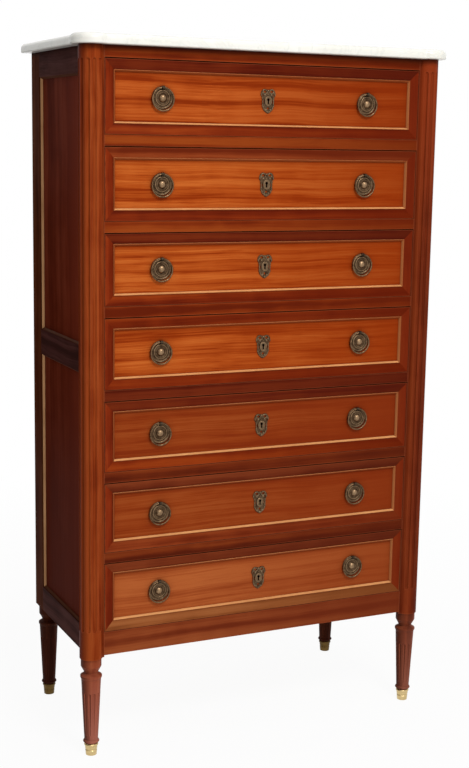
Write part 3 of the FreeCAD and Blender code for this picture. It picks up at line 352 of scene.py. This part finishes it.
# side rails and panels: dark tones as painted shade; panels lighter to the front and darker low down
sideRailWood = woodFinish("sideRailMahogany", mahogany["sideRail"], "y", 4, gloss=0.002, wearAndHighlight=0.1)
sidePanelWood = woodFinish("sidePanelMahogany", mahogany["side"], "z", 6, figure=16, gloss=0.002, wearAndHighlight=0,
                           paintedBlends=((1, rgb(150, 63, 40), *carcase["sideDepth"]),
                                   (2, rgb(82, 28, 14), *carcase["sideRise"])))

plainDress = {
    "marble_top": marbleFinish("whiteMarble"), "carcase_boards": insideWood, "drawer_runners": insideWood,
    "front_left_post": postWood, "front_right_post": rightPostWood, "rear_left_post": rearPostWood,
    "rear_right_post": rearPostWood, "legs": legWood, "sabots": brass, "frieze_rail": railWood,
    "apron_rail": apronWood, "drawer_dividers": railWood, "left_side_rails": sideRailWood,
    "right_side_rails": sideRailWood, "left_side_panels": sidePanelWood, "right_side_panels": sidePanelWood,
    "side_fillets": sideGilt, "back_panel": backWood,
}
for name, finish in plainDress.items():
    dress(nodes[name], finish)
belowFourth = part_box("drawer_4_front")[0].z
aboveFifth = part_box("drawer_5_front")[1].z
# darker copies on the right legs, rear legs and rear sabots: painted shade
dressPart(nodes["legs"], rightLegWood, lambda spot: spot.x > 0)
dressPart(nodes["legs"], rearLegWood, lambda spot: spot.y > 0)
dressPart(nodes["sabots"], rearBrass, lambda spot: spot.y > 0)
# the lower dividers take darker copies: painted shade lower down
dressPart(nodes["drawer_dividers"], darkRailWood, lambda spot: aboveFifth < spot.z < belowFourth)
dressPart(nodes["drawer_dividers"], lowRailWood, lambda spot: spot.z < aboveFifth)
print("finishes on the carcase")


# drawers: each panel has its own figure and painted shade under its top fillet
# painted shade: the top border is darker than the bottom one, apart from the second and fourth drawers
drawerDress = {
    "panelHalf": 51.5, "topShade": 16, "panelBehind": (6, 1), "uprightFrom": 330, "boxBack": 13,
    "figure": {"figure": 46, "band": 0.06, "streak": 0.42, "mottle": 0.14, "sway": 0.014, "wearAndHighlight": 0,
               "rightShade": 0.85},
}
# darker and lighter copies of the border tone: painted light and shade by height and by side
borderRail = woodFinish("borderAcross", mahogany["border"], "x", 7, rightShade=0.85, sway=straight)
lowBorderRail = woodFinish("lowBorderAcross", mahogany["lowBorder"], "x", 15, rightShade=0.7, sway=straight)
footBorderRail = woodFinish("footBorderAcross", mahogany["footBorder"], "x", 16, rightShade=0.9, sway=straight)
topBorderRail = woodFinish("topBorderAcross", mahogany["topBorder"], "x", 7, rightShade=0.7, sway=straight)
lowTopBorderRail = woodFinish("lowTopBorderAcross", mahogany["lowTopBorder"], "x", 15, rightShade=0.7,
                              sway=straight)
# uprights: painted shade on faces turned left, along the gap beside the post
borderStile = woodFinish("borderUpright", mahogany["stile"], "z", 8, rightShade=0.7,
                         turnedShade=(rgb(62, 12, 2), towardsLeft, 0.8, 1))
# panel tones: darker and lighter copies of one mahogany, painted light and shade by the drawer's height
panelTones = ["topPanel", "panel", "panel", "panel", "lowPanel", "lowPanel", "footPanel"]
lowBorders = [borderRail] * 5 + [lowBorderRail, footBorderRail]
highBorders = [topBorderRail, lowBorderRail, topBorderRail, borderRail, topBorderRail,
               lowTopBorderRail, lowTopBorderRail]
for n in drawerNumbers:
    front = nodes[f"drawer_{n}_front"]
    low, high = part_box(front.name)
    middle = (low + high) / 2
    tones = mahogany[panelTones[n - 1]]
    panelTop = middle.z + drawerDress["panelHalf"] * mm
    shadeEnd = panelTop - drawerDress["topShade"] * mm
    # painted shadow of the top fillet: the panel darker just under it
    panelWood = woodFinish(f"panelMahogany{n}", tones, "x", 20 + n, **drawerDress["figure"],
                           paintedBlends=((2, tones["dark"], panelTop, shadeEnd),))
    dress(front, lowBorders[n - 1], borderStile, panelWood, highBorders[n - 1])
    behindLip, beforeBack = (step * mm for step in drawerDress["panelBehind"])
    uprightFrom = drawerDress["uprightFrom"] * mm
    for face in front.data.polygons:
        spot, way = face.center, face.normal
        atPanel = abs(way.y + 1) < 0.01 and low.y + behindLip < spot.y < high.y - beforeBack
        upright = abs(way.x) > abs(way.z) and abs(spot.x) > uprightFrom
        face.material_index = 2 if atPanel else 1 if upright else 3 if spot.z > middle.z else 0
    box = nodes[f"drawer_{n}_box"]
    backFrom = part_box(box.name)[1].y - drawerDress["boxBack"] * mm
    dress(box, insideWood)
    dressPart(box, boxBackWood, lambda spot: spot.y > backFrom and abs(spot.x) < uprightFrom)
    dress(nodes[f"drawer_{n}_brassware"], bronze)
    dress(nodes[f"drawer_{n}_lock_bolt"], steel)
    for side in ("left", "right"):
        dress(nodes[f"drawer_{n}_ring_{side}"], ringBronze)
print("finishes on the drawers")


# modelling helpers: each works on one piece in edit mode

closeBy = 0.01 * mm  # points nearer than this are one


def clearSelection():
    if bpy.context.object and bpy.context.object.mode == "EDIT":
        bpy.ops.object.mode_set(mode="OBJECT")
    bpy.ops.object.select_all(action="DESELECT")


def startPiece(name, primitive, stretch=(1, 1, 1), **sizes):
    # stretch acts along the chest's own axes, in mm for shapes of size 1
    clearSelection()
    primitive(**sizes)
    piece = bpy.context.object
    piece.name = name
    bpy.ops.object.transform_apply(location=True, rotation=True, scale=True)
    bpy.ops.object.mode_set(mode="EDIT")
    bpy.ops.mesh.select_all(action="SELECT")
    if stretch != (1, 1, 1):
        bpy.ops.transform.resize(value=[part * mm for part in stretch], center_override=(0, 0, 0))
    return piece


def pick(piece, kind, wanted):
    bpy.ops.mesh.select_mode(type=kind)
    bpy.ops.mesh.select_all(action="DESELECT")
    mesh = bmesh.from_edit_mesh(piece.data)
    for part in {"VERT": mesh.verts, "EDGE": mesh.edges, "FACE": mesh.faces}[kind]:
        part.select_set(wanted(part))
    mesh.select_flush_mode()
    bmesh.update_edit_mesh(piece.data)


def moveBy(x=0, y=0, z=0):
    bpy.ops.transform.translate(value=(x, y, z))


def endPiece(piece, angle=35):
    bpy.ops.mesh.select_mode(type="VERT")
    bpy.ops.mesh.select_all(action="SELECT")
    bpy.ops.mesh.remove_doubles(threshold=closeBy)
    bpy.ops.mesh.normals_make_consistent(inside=False)
    bpy.ops.object.mode_set(mode="OBJECT")
    bpy.ops.object.shade_smooth_by_angle(angle=math.radians(angle))
    return piece


def turned(name, profile, steps):
    # spins a line of (radius, height) about the way the piece faces
    piece = startPiece(name, bpy.ops.mesh.primitive_plane_add, size=mm)
    bpy.ops.mesh.merge(type="CENTER")
    moveBy(profile[0][0] * mm, -profile[0][1] * mm)
    for (r0, h0), (r1, h1) in zip(profile, profile[1:]):
        bpy.ops.mesh.extrude_vertices_move(
            TRANSFORM_OT_translate={"value": ((r1 - r0) * mm, (h0 - h1) * mm, 0)})
    bpy.ops.mesh.select_all(action="SELECT")
    bpy.ops.mesh.spin(steps=steps, angle=2 * math.pi, center=(0, 0, 0), axis=(0, 1, 0))
    return piece


def cutWith(piece, cutter):
    tool = piece.modifiers.new("cut", "BOOLEAN")
    tool.object = cutter
    tool.solver = "EXACT"
    clearSelection()
    bpy.context.view_layer.objects.active = piece
    bpy.ops.object.modifier_apply(modifier=tool.name)
    bpy.data.objects.remove(cutter)


def joinPieces(pieces):
    clearSelection()
    for piece in pieces:
        piece.select_set(True)
    bpy.context.view_layer.objects.active = pieces[0]
    bpy.ops.object.join()
    return pieces[0]


def settle(master, name, shift, body, slot, *replaced):
    piece = master.copy()
    piece.data = master.data.copy()
    piece.name = name
    bpy.context.scene.collection.objects.link(piece)
    piece.data.transform(Matrix.Translation(shift))
    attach(piece, body)
    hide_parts(*replaced)


# backplate: turned rosette with a domed boss, a ring of pearls, and the barrel for the ring
rosette = {
    "profile": [(0, 7.8), (2.4, 7.5), (4.6, 6.6), (6.4, 5.2), (7.6, 3.6), (8.2, 2.2), (9.2, 1.3),
                (11.8, 1.1), (12.7, 1.3), (13.2, 2.2), (13.9, 2.9), (14.6, 3.0), (15.3, 2.7), (15.9, 1.9),
                (16.3, 1.2), (17.4, 1.0), (18.6, 1.3), (19.2, 1.9), (20.2, 2.1), (21.3, 1.8), (22.1, 1.3),
                (22.5, 0.6), (22.5, 0), (0, 0)],
    "steps": 60, "pearls": 30, "pearlRing": 17.6, "pearlSize": 1.05, "pearlStand": 1.1,
    "barrelRise": 20, "barrelStand": 5.2, "barrelRadius": 3.7, "barrelBore": 2.2, "barrelHalf": 2.5,
    "barrelEdge": (0.5, 0.45), "foot": 3.6, "footStand": 1.6, "footDrop": 1,
}


def makeRosette():
    piece = turned("rosette", rosette["profile"], rosette["steps"])
    for i in range(rosette["pearls"]):
        angle = 2 * math.pi * i / rosette["pearls"]
        spot = Vector((math.cos(angle), 0, math.sin(angle))) * rosette["pearlRing"] * mm
        bpy.ops.mesh.primitive_uv_sphere_add(segments=10, ring_count=6, radius=rosette["pearlSize"] * mm,
                                             location=spot - Vector((0, rosette["pearlStand"] * mm, 0)))
    endPiece(piece)
    dress(piece, bronze)
    spot = (0, -rosette["barrelStand"] * mm, rosette["barrelRise"] * mm)
    barrel = startPiece("barrel", bpy.ops.mesh.primitive_cylinder_add, vertices=28, location=spot,
                        radius=rosette["barrelRadius"] * mm, depth=2 * rosette["barrelHalf"] * mm,
                        rotation=(0, math.pi / 2, 0))
    pick(barrel, "FACE", lambda f: abs(f.normal.x) > 0.9)
    edge, rise = rosette["barrelEdge"]
    wall = rosette["barrelRadius"] - rosette["barrelBore"] - edge
    bpy.ops.mesh.inset(thickness=edge * mm, depth=rise * mm, use_individual=True)
    bpy.ops.mesh.inset(thickness=wall * mm, use_individual=True)
    bpy.ops.mesh.bridge_edge_loops()
    bpy.ops.mesh.select_all(action="DESELECT")
    footSpot = (0, -rosette["footStand"] * mm, (rosette["barrelRise"] - rosette["footDrop"]) * mm)
    bpy.ops.mesh.primitive_cube_add(size=rosette["foot"] * mm, location=footSpot)
    endPiece(barrel)
    dress(barrel, knuckleBronze)
    return joinPieces([piece, barrel])


# ring: round wire with laurel ribs between bound stretches
ringPull = {"radius": 22.5, "wire": 1.7, "parts": 96, "leaf": 0.3, "leafStep": 3, "bands": 4, "bandHalf": 3,
            "bandSwell": 0.1}


def makeRing():
    piece = startPiece("ringPull", bpy.ops.mesh.primitive_torus_add, rotation=(math.pi / 2, 0, 0),
                       major_radius=ringPull["radius"] * mm, minor_radius=ringPull["wire"] * mm,
                       major_segments=ringPull["parts"], minor_segments=14)

    def partOf(vert):
        angle = math.atan2(vert.co.x, -vert.co.z)
        return round(angle / (2 * math.pi) * ringPull["parts"]) % ringPull["parts"]

    spacing = ringPull["parts"] // ringPull["bands"]

    def fromBand(vert):
        step = partOf(vert) % spacing
        return min(step, spacing - step)

    pick(piece, "VERT", lambda v: fromBand(v) > ringPull["bandHalf"]
         and partOf(v) % ringPull["leafStep"] == 0)
    bpy.ops.transform.shrink_fatten(value=-ringPull["leaf"] * mm)
    pick(piece, "VERT", lambda v: fromBand(v) in (ringPull["bandHalf"], ringPull["bandHalf"] - 1))
    bpy.ops.transform.shrink_fatten(value=ringPull["bandSwell"] * mm)
    endPiece(piece, 60)
    dress(piece, ringBronze)
    return piece


# escutcheon: pierced plate, raised oval round the keyhole, ribbon bow above and leaf garlands beside it
escutcheon = {
    "outline": [(0, -25), (3.6, -23.4), (7.8, -20.2), (11.6, -15.6), (13, -10.5), (12.6, -5), (12.2, 1),
                (13, 6), (15.2, 9.6), (16.8, 13.6), (16, 18.6), (12.4, 23.2), (7.6, 24.6), (3.2, 23.2),
                (0, 22.6)],
    "plate": 1.2, "plateEdge": 0.4, "medal": (8.2, 9.8), "medalHigh": 2.6, "medalEdge": (0.45, 0.35),
    "rim": 1.3, "dish": 0.6, "dishEdge": 0.3, "keyRound": 3, "keySlot": 1.6, "keyDrop": 9, "cutDepth": 9,
    "voids": [(10, -1, 1.2, 5), (7.6, 18.8, 3.2, 2.2), (12.4, 11.2, 1.2, 1.8), (0, -14.6, 2.4, 2.4)],
    "loop": (4.2, 1.1), "loopShape": (1.15, 0.95, 0.84), "loopAt": (7.4, 18.8), "loopStand": 1.4,
    "loopTurn": 24,
    "garland": [(12.6, 5), (11.9, 1), (11.9, -3), (12.1, -7), (11.4, -11.2), (9.6, -15), (7, -18.2),
                (3.8, -20.8)],
    "leafSize": (1.5, 1, 3), "leafLean": (8, -4, 4, -2, -22, -38, -52, -62), "leafSwing": 20,
    "buds": [(0, 20.8, 2.3, 1.7, 2.4), (0, -22, 2, 1.5, 2.7), (0, 12.6, 1.6, 1.1, 1.5)],
    "curls": [(7.4, 12.4, 2.6, 1.5, 2.3), (15.4, 13, 1.4, 1.1, 3.2), (12.2, 15.8, 1.7, 1.1, 2.4),
              (4.6, -17.4, 2.2, 1.3, 1.6)],
}


def ovalBlock(name, half, deep, vertices):
    return startPiece(name, bpy.ops.mesh.primitive_cylinder_add, vertices=vertices, radius=1, depth=1,
                      rotation=(math.pi / 2, 0, 0), stretch=(half[0], deep, half[1]))


def blob(name, x, z, half, lean=0):
    # a rounded leaf or bud that sits on the plate
    piece = startPiece(name, bpy.ops.mesh.primitive_uv_sphere_add, segments=12, ring_count=8, radius=1,
                       stretch=half)
    if lean:
        bpy.ops.transform.rotate(value=math.radians(lean), orient_axis="Y", center_override=(0, 0, 0))
    moveBy(x * mm, -escutcheon["plate"] * mm, z * mm)
    return endPiece(piece, 60)


def makeEscutcheon():
    plan = escutcheon
    right = plan["outline"]
    way = right + [(-x, z) for x, z in reversed(right[1:-1])]
    plate = startPiece("escutcheon", bpy.ops.mesh.primitive_plane_add, size=mm)
    bpy.ops.mesh.merge(type="CENTER")
    moveBy(way[0][0] * mm, 0, way[0][1] * mm)
    for (x0, z0), (x1, z1) in zip(way, way[1:]):
        bpy.ops.mesh.extrude_vertices_move(
            TRANSFORM_OT_translate={"value": ((x1 - x0) * mm, 0, (z1 - z0) * mm)})
    bpy.ops.mesh.select_all(action="SELECT")
    bpy.ops.mesh.edge_face_add()
    bpy.ops.mesh.extrude_region_move(TRANSFORM_OT_translate={"value": (0, -plan["plate"] * mm, 0)})
    pick(plate, "EDGE", lambda e: all(v.co.y < -0.5 * plan["plate"] * mm for v in e.verts))
    bpy.ops.mesh.bevel(offset=plan["plateEdge"] * mm, segments=2, affect="EDGES")
    endPiece(plate)
    for x, z, halfX, halfZ in plan["voids"]:
        for side in ((-1, 1) if x else (1,)):
            tool = ovalBlock("void", (halfX, halfZ), plan["cutDepth"], 20)
            moveBy(side * x * mm, 0, z * mm)
            bpy.ops.object.mode_set(mode="OBJECT")
            cutWith(plate, tool)
    medal = ovalBlock("medal", plan["medal"], plan["medalHigh"], 48)
    moveBy(y=-plan["medalHigh"] / 2 * mm)
    pick(medal, "FACE", lambda f: f.normal.y < -0.9)
    edge, rise = plan["medalEdge"]
    bpy.ops.mesh.inset(thickness=edge * mm, depth=rise * mm)
    bpy.ops.mesh.inset(thickness=plan["rim"] * mm)
    bpy.ops.mesh.inset(thickness=plan["dishEdge"] * mm, depth=-plan["dish"] * mm)
    endPiece(medal)
    for target in (plate, medal):
        keyhole = ovalBlock("keyhole", (plan["keyRound"], plan["keyRound"]), plan["cutDepth"], 24)
        moveBy(z=plan["keyRound"] * mm)
        bpy.ops.object.mode_set(mode="OBJECT")
        slot = startPiece("keySlot", bpy.ops.mesh.primitive_cube_add, size=1,
                          stretch=(2 * plan["keySlot"], plan["cutDepth"], plan["keyDrop"]))
        moveBy(z=(plan["keyRound"] - plan["keyDrop"] / 2) * mm)
        bpy.ops.object.mode_set(mode="OBJECT")
        cutWith(target, keyhole)
        cutWith(target, slot)
    parts = [plate, medal] + [blob("bud", x, z, half) for x, z, *half in plan["buds"]]
    for side in (-1, 1):
        loop = startPiece("bowLoop", bpy.ops.mesh.primitive_torus_add, major_radius=plan["loop"][0] * mm,
                          minor_radius=plan["loop"][1] * mm, major_segments=28, minor_segments=10,
                          rotation=(math.pi / 2, 0, 0))
        bpy.ops.transform.resize(value=plan["loopShape"])
        turn = math.radians(side * plan["loopTurn"])
        bpy.ops.transform.rotate(value=turn, orient_axis="Y", center_override=(0, 0, 0))
        moveBy(side * plan["loopAt"][0] * mm, -plan["loopStand"] * mm, plan["loopAt"][1] * mm)
        parts.append(endPiece(loop, 60))
        parts += [blob("curl", side * x, z, half) for x, z, *half in plan["curls"]]
        for i, ((x, z), lean) in enumerate(zip(plan["garland"], plan["leafLean"])):
            swing = plan["leafSwing"] if i % 2 else -plan["leafSwing"]
            parts.append(blob("leaf", side * x, z, plan["leafSize"], side * (lean + swing)))
    whole = joinPieces(parts)
    dress(whole, bronze)
    return whole


# fillet: brass moulding round a drawer panel, falling inwards from a narrow crown, mitred at the corners
fillet = {"half": (335.3, 51.5), "wide": 4, "high": 5.5, "crown": 0.9, "foot": 1, "round": 0.385}


def makeFillet():
    piece = startPiece("fillet", bpy.ops.mesh.primitive_plane_add, size=1, rotation=(math.pi / 2, 0, 0),
                       stretch=(2 * fillet["half"][0], 1, 2 * fillet["half"][1]))
    moveBy(y=-fillet["high"] * mm)
    bpy.ops.mesh.inset(thickness=fillet["crown"] * mm)
    slope, fall = fillet["wide"] - fillet["crown"], fillet["foot"] - fillet["high"]
    bpy.ops.mesh.inset(thickness=slope * mm, depth=fall * mm)
    bpy.ops.mesh.delete(type="FACE")
    for height in (fillet["high"], fillet["foot"]):
        pick(piece, "EDGE", lambda e: e.is_boundary
             and all(abs(v.co.y + height * mm) < closeBy for v in e.verts))
        bpy.ops.mesh.extrude_region_move(TRANSFORM_OT_translate={"value": (0, height * mm, 0)})
    pick(piece, "EDGE", lambda e: e.is_boundary)
    bpy.ops.mesh.bridge_edge_loops()
    justBelow, sharp = 0.1, 0.2
    crown = (justBelow - fillet["high"]) * mm
    pick(piece, "EDGE", lambda e: all(v.co.y < crown for v in e.verts) and e.calc_face_angle(0) > sharp)
    bpy.ops.mesh.bevel(offset=fillet["round"] * mm, segments=3, affect="EDGES")
    endPiece(piece, 50)
    dress(piece, gilt)
    return piece


# lock: a case behind the front, with a rim round its sunk face, four rivets, the bolt's slot and the key hole
lock = {"half": 28, "thick": 10, "high": 88, "rim": 3, "rimEdge": 0.6, "sunk": 0.8, "bolt": (10.3, 2.8, 36),
        "rivet": 1.7, "rivetAt": (22, 36), "keyRound": 4, "keyAt": -68.9}


def makeLock():
    piece = startPiece("lockCase", bpy.ops.mesh.primitive_cube_add, size=1,
                       stretch=(2 * lock["half"], lock["thick"], lock["high"]))
    moveBy(y=lock["thick"] / 2 * mm, z=-lock["high"] / 2 * mm)
    pick(piece, "FACE", lambda f: f.normal.y > 0.9)
    bpy.ops.mesh.inset(thickness=lock["rim"] * mm)
    bpy.ops.mesh.inset(thickness=lock["rimEdge"] * mm, depth=-lock["sunk"] * mm)
    endPiece(piece)
    slot = startPiece("boltSlot", bpy.ops.mesh.primitive_cube_add, size=2, stretch=lock["bolt"])
    moveBy(y=lock["thick"] / 2 * mm)
    bpy.ops.object.mode_set(mode="OBJECT")
    cutWith(piece, slot)
    keyWay = startPiece("keyWay", bpy.ops.mesh.primitive_cylinder_add, vertices=24,
                        radius=lock["keyRound"] * mm, depth=lock["thick"] * mm,
                        rotation=(math.pi / 2, 0, 0), location=(0, 0, lock["keyAt"] * mm))
    bpy.ops.object.mode_set(mode="OBJECT")
    cutWith(piece, keyWay)
    parts = [piece]
    for x in (-1, 1):
        for z in (-1, 1):
            spot = (x * lock["rivetAt"][0] * mm, (lock["thick"] - lock["sunk"]) * mm,
                    (z * lock["rivetAt"][1] - lock["high"] / 2) * mm)
            rivet = startPiece("rivet", bpy.ops.mesh.primitive_uv_sphere_add, segments=12, ring_count=8,
                               radius=lock["rivet"] * mm, location=spot)
            parts.append(endPiece(rivet, 60))
    whole = joinPieces(parts)
    dress(whole, steel)
    return whole


# where the fittings sit on a drawer
fittings = {"panelAt": -170.5, "handleAt": 232, "ringStand": 5.2, "ringDrop": 2.5, "lockTop": 1,
            "frontBack": -156.5}
masters = [makeRosette(), makeRing(), makeEscutcheon(), makeFillet(), makeLock()]
rosettePiece, ringPiece, escutcheonPiece, filletPiece, lockPiece = masters
for n in drawerNumbers:
    low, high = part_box(f"drawer_{n}_front")
    middle = Vector((0, fittings["panelAt"] * mm, (low.z + high.z) / 2))
    body, trim = f"drawer_{n}", f"drawer_{n}_brassware"
    settle(filletPiece, f"fillet{n}", middle, body, "brass", trim)
    settle(escutcheonPiece, f"escutcheon{n}", middle, body, "bronze", trim)
    lockSpot = Vector((0, fittings["frontBack"] * mm, high.z - fittings["lockTop"] * mm))
    settle(lockPiece, f"lockCase{n}", lockSpot, body, "steel", trim)
    for side, sign in (("left", -1), ("right", 1)):
        spot = middle + Vector((sign * fittings["handleAt"] * mm, 0, 0))
        settle(rosettePiece, f"rosette{n}{side}", spot, body, "bronze", trim)
        ringSpot = spot - Vector((0, fittings["ringStand"] * mm, fittings["ringDrop"] * mm))
        ringNode = f"drawer_{n}_ring_{side}"
        settle(ringPiece, f"ring{n}{side}", ringSpot, ringNode, "bronze", ringNode)
for master in masters:
    bpy.data.objects.remove(master)
print("fittings on the drawers")


# stage: pale floor, soft light, camera at the photograph's place
studio = {"floorSize": 60, "floorTone": rgb(250, 250, 250), "floorRough": 0.9, "floorGlow": 0.94,
          "shadowReach": (0.7, 2.2), "ambient": 0.46, "cardTone": rgb(40, 40, 40)}
lamps = {
    "keyLamp": {"at": (0.1, -2.8, 3.5), "aim": (0, 0, 0.8), "size": 1.0, "power": 66},
    "fillLamp": {"at": (-0.6, -3.6, 0.8), "aim": (0, 0, 0.4), "size": 2.0, "power": 16},
    "topLamp": {"at": (0.2, 0.1, 3.6), "aim": (0, 0, 0.8), "size": 1.6, "power": 10},
}
flags = {
    "sideFlag": {"at": (-2.1, 0.3, 0.55), "turn": (90, 0, 90), "long": 5, "tall": 1.1},
    "rearFlag": {"at": (-2.2, 2.6, 0.55), "turn": (90, 0, 0), "long": 3.4, "tall": 1.1},
}
cameraSet = {"at": (-1.2716, -2.756, 1.2695), "turn": (80.059, -0.9646, -24.860), "lens": 64.76, "sensor": 36}


def seenShare(tree):
    # 1 for what the camera sees, also by reflection or through a clear piece
    path = addNode(tree, "LightPath").outputs
    seen = maths(tree, "MAXIMUM", path["Is Camera Ray"], path["Is Glossy Ray"])
    return maths(tree, "MAXIMUM", seen, path["Is Transmission Ray"])


def makeFloor():
    clearSelection()
    bpy.ops.mesh.primitive_plane_add(size=studio["floorSize"])
    floor = bpy.context.object
    floor.name = "floor"
    mat, tree, skin = blankFinish("paleFloor")
    skin.inputs["Base Color"].default_value = studio["floorTone"]
    skin.inputs["Roughness"].default_value = studio["floorRough"]
    glow = addNode(tree, "Emission", {"Color": (1, 1, 1, 1), "Strength": 1})
    place = addNode(tree, "TexCoord").outputs["Object"]
    away = addNode(tree, "VectorMath", {0: place}, operation="LENGTH").outputs["Value"]
    near, far = studio["shadowReach"]
    white = spread(tree, away, near, far, studio["floorGlow"], 1)
    share = maths(tree, "MULTIPLY", seenShare(tree), white)
    both = addNode(tree, "MixShader", {0: share, 1: skin.outputs[0], 2: glow.outputs[0]})
    tree.links.new(both.outputs[0], tree.nodes["Material Output"].inputs[0])
    dress(floor, mat)


def makeFlag(name, plan):
    # a black card keeps light and reflections off the left side, out of the camera's sight
    clearSelection()
    bpy.ops.mesh.primitive_plane_add(size=1)
    card = bpy.context.object
    card.name = name
    card.scale = (plan["long"], plan["tall"], 1)
    card.rotation_euler = [math.radians(angle) for angle in plan["turn"]]
    card.location = plan["at"]
    bpy.ops.object.transform_apply(location=True, rotation=True, scale=True)
    mat, _, skin = blankFinish("blackCard")
    skin.inputs["Base Color"].default_value = studio["cardTone"]
    skin.inputs["Roughness"].default_value = 1
    skin.inputs["Specular IOR Level"].default_value = 0
    dress(card, mat)
    card.visible_camera = False


def makeLamp(name, plan):
    light = bpy.data.lights.new(name, "AREA")
    light.shape = "SQUARE"
    light.size = plan["size"]
    light.energy = plan["power"]
    lamp = bpy.data.objects.new(name, light)
    bpy.context.scene.collection.objects.link(lamp)
    lamp.location = plan["at"]
    lamp.visible_camera = False
    lamp.rotation_euler = (Vector(plan["aim"]) - Vector(plan["at"])).to_track_quat("-Z", "Y").to_euler()


def makeSky():
    world = bpy.data.worlds.new("studioSky")
    bpy.context.scene.world = world
    world.use_nodes = True
    tree = world.node_tree
    tree.nodes.clear()
    room = addNode(tree, "Background", {"Color": (1, 1, 1, 1), "Strength": studio["ambient"]})
    white = addNode(tree, "Background", {"Color": (1, 1, 1, 1), "Strength": 1})
    both = addNode(tree, "MixShader", {0: seenShare(tree), 1: room.outputs[0], 2: white.outputs[0]})
    addNode(tree, "OutputWorld", {"Surface": both.outputs[0]})


def makeCamera():
    lens = bpy.data.cameras.new("photoCamera")
    lens.lens = cameraSet["lens"]
    lens.sensor_width = cameraSet["sensor"]
    eye = bpy.data.objects.new("photoCamera", lens)
    bpy.context.scene.collection.objects.link(eye)
    eye.location = cameraSet["at"]
    eye.rotation_euler = [math.radians(angle) for angle in cameraSet["turn"]]
    bpy.context.scene.camera = eye


makeFloor()
for name, plan in flags.items():
    makeFlag(name, plan)
for name, plan in lamps.items():
    makeLamp(name, plan)
makeSky()
makeCamera()
bpy.context.scene.view_settings.view_transform = "Standard"
print("stage set")
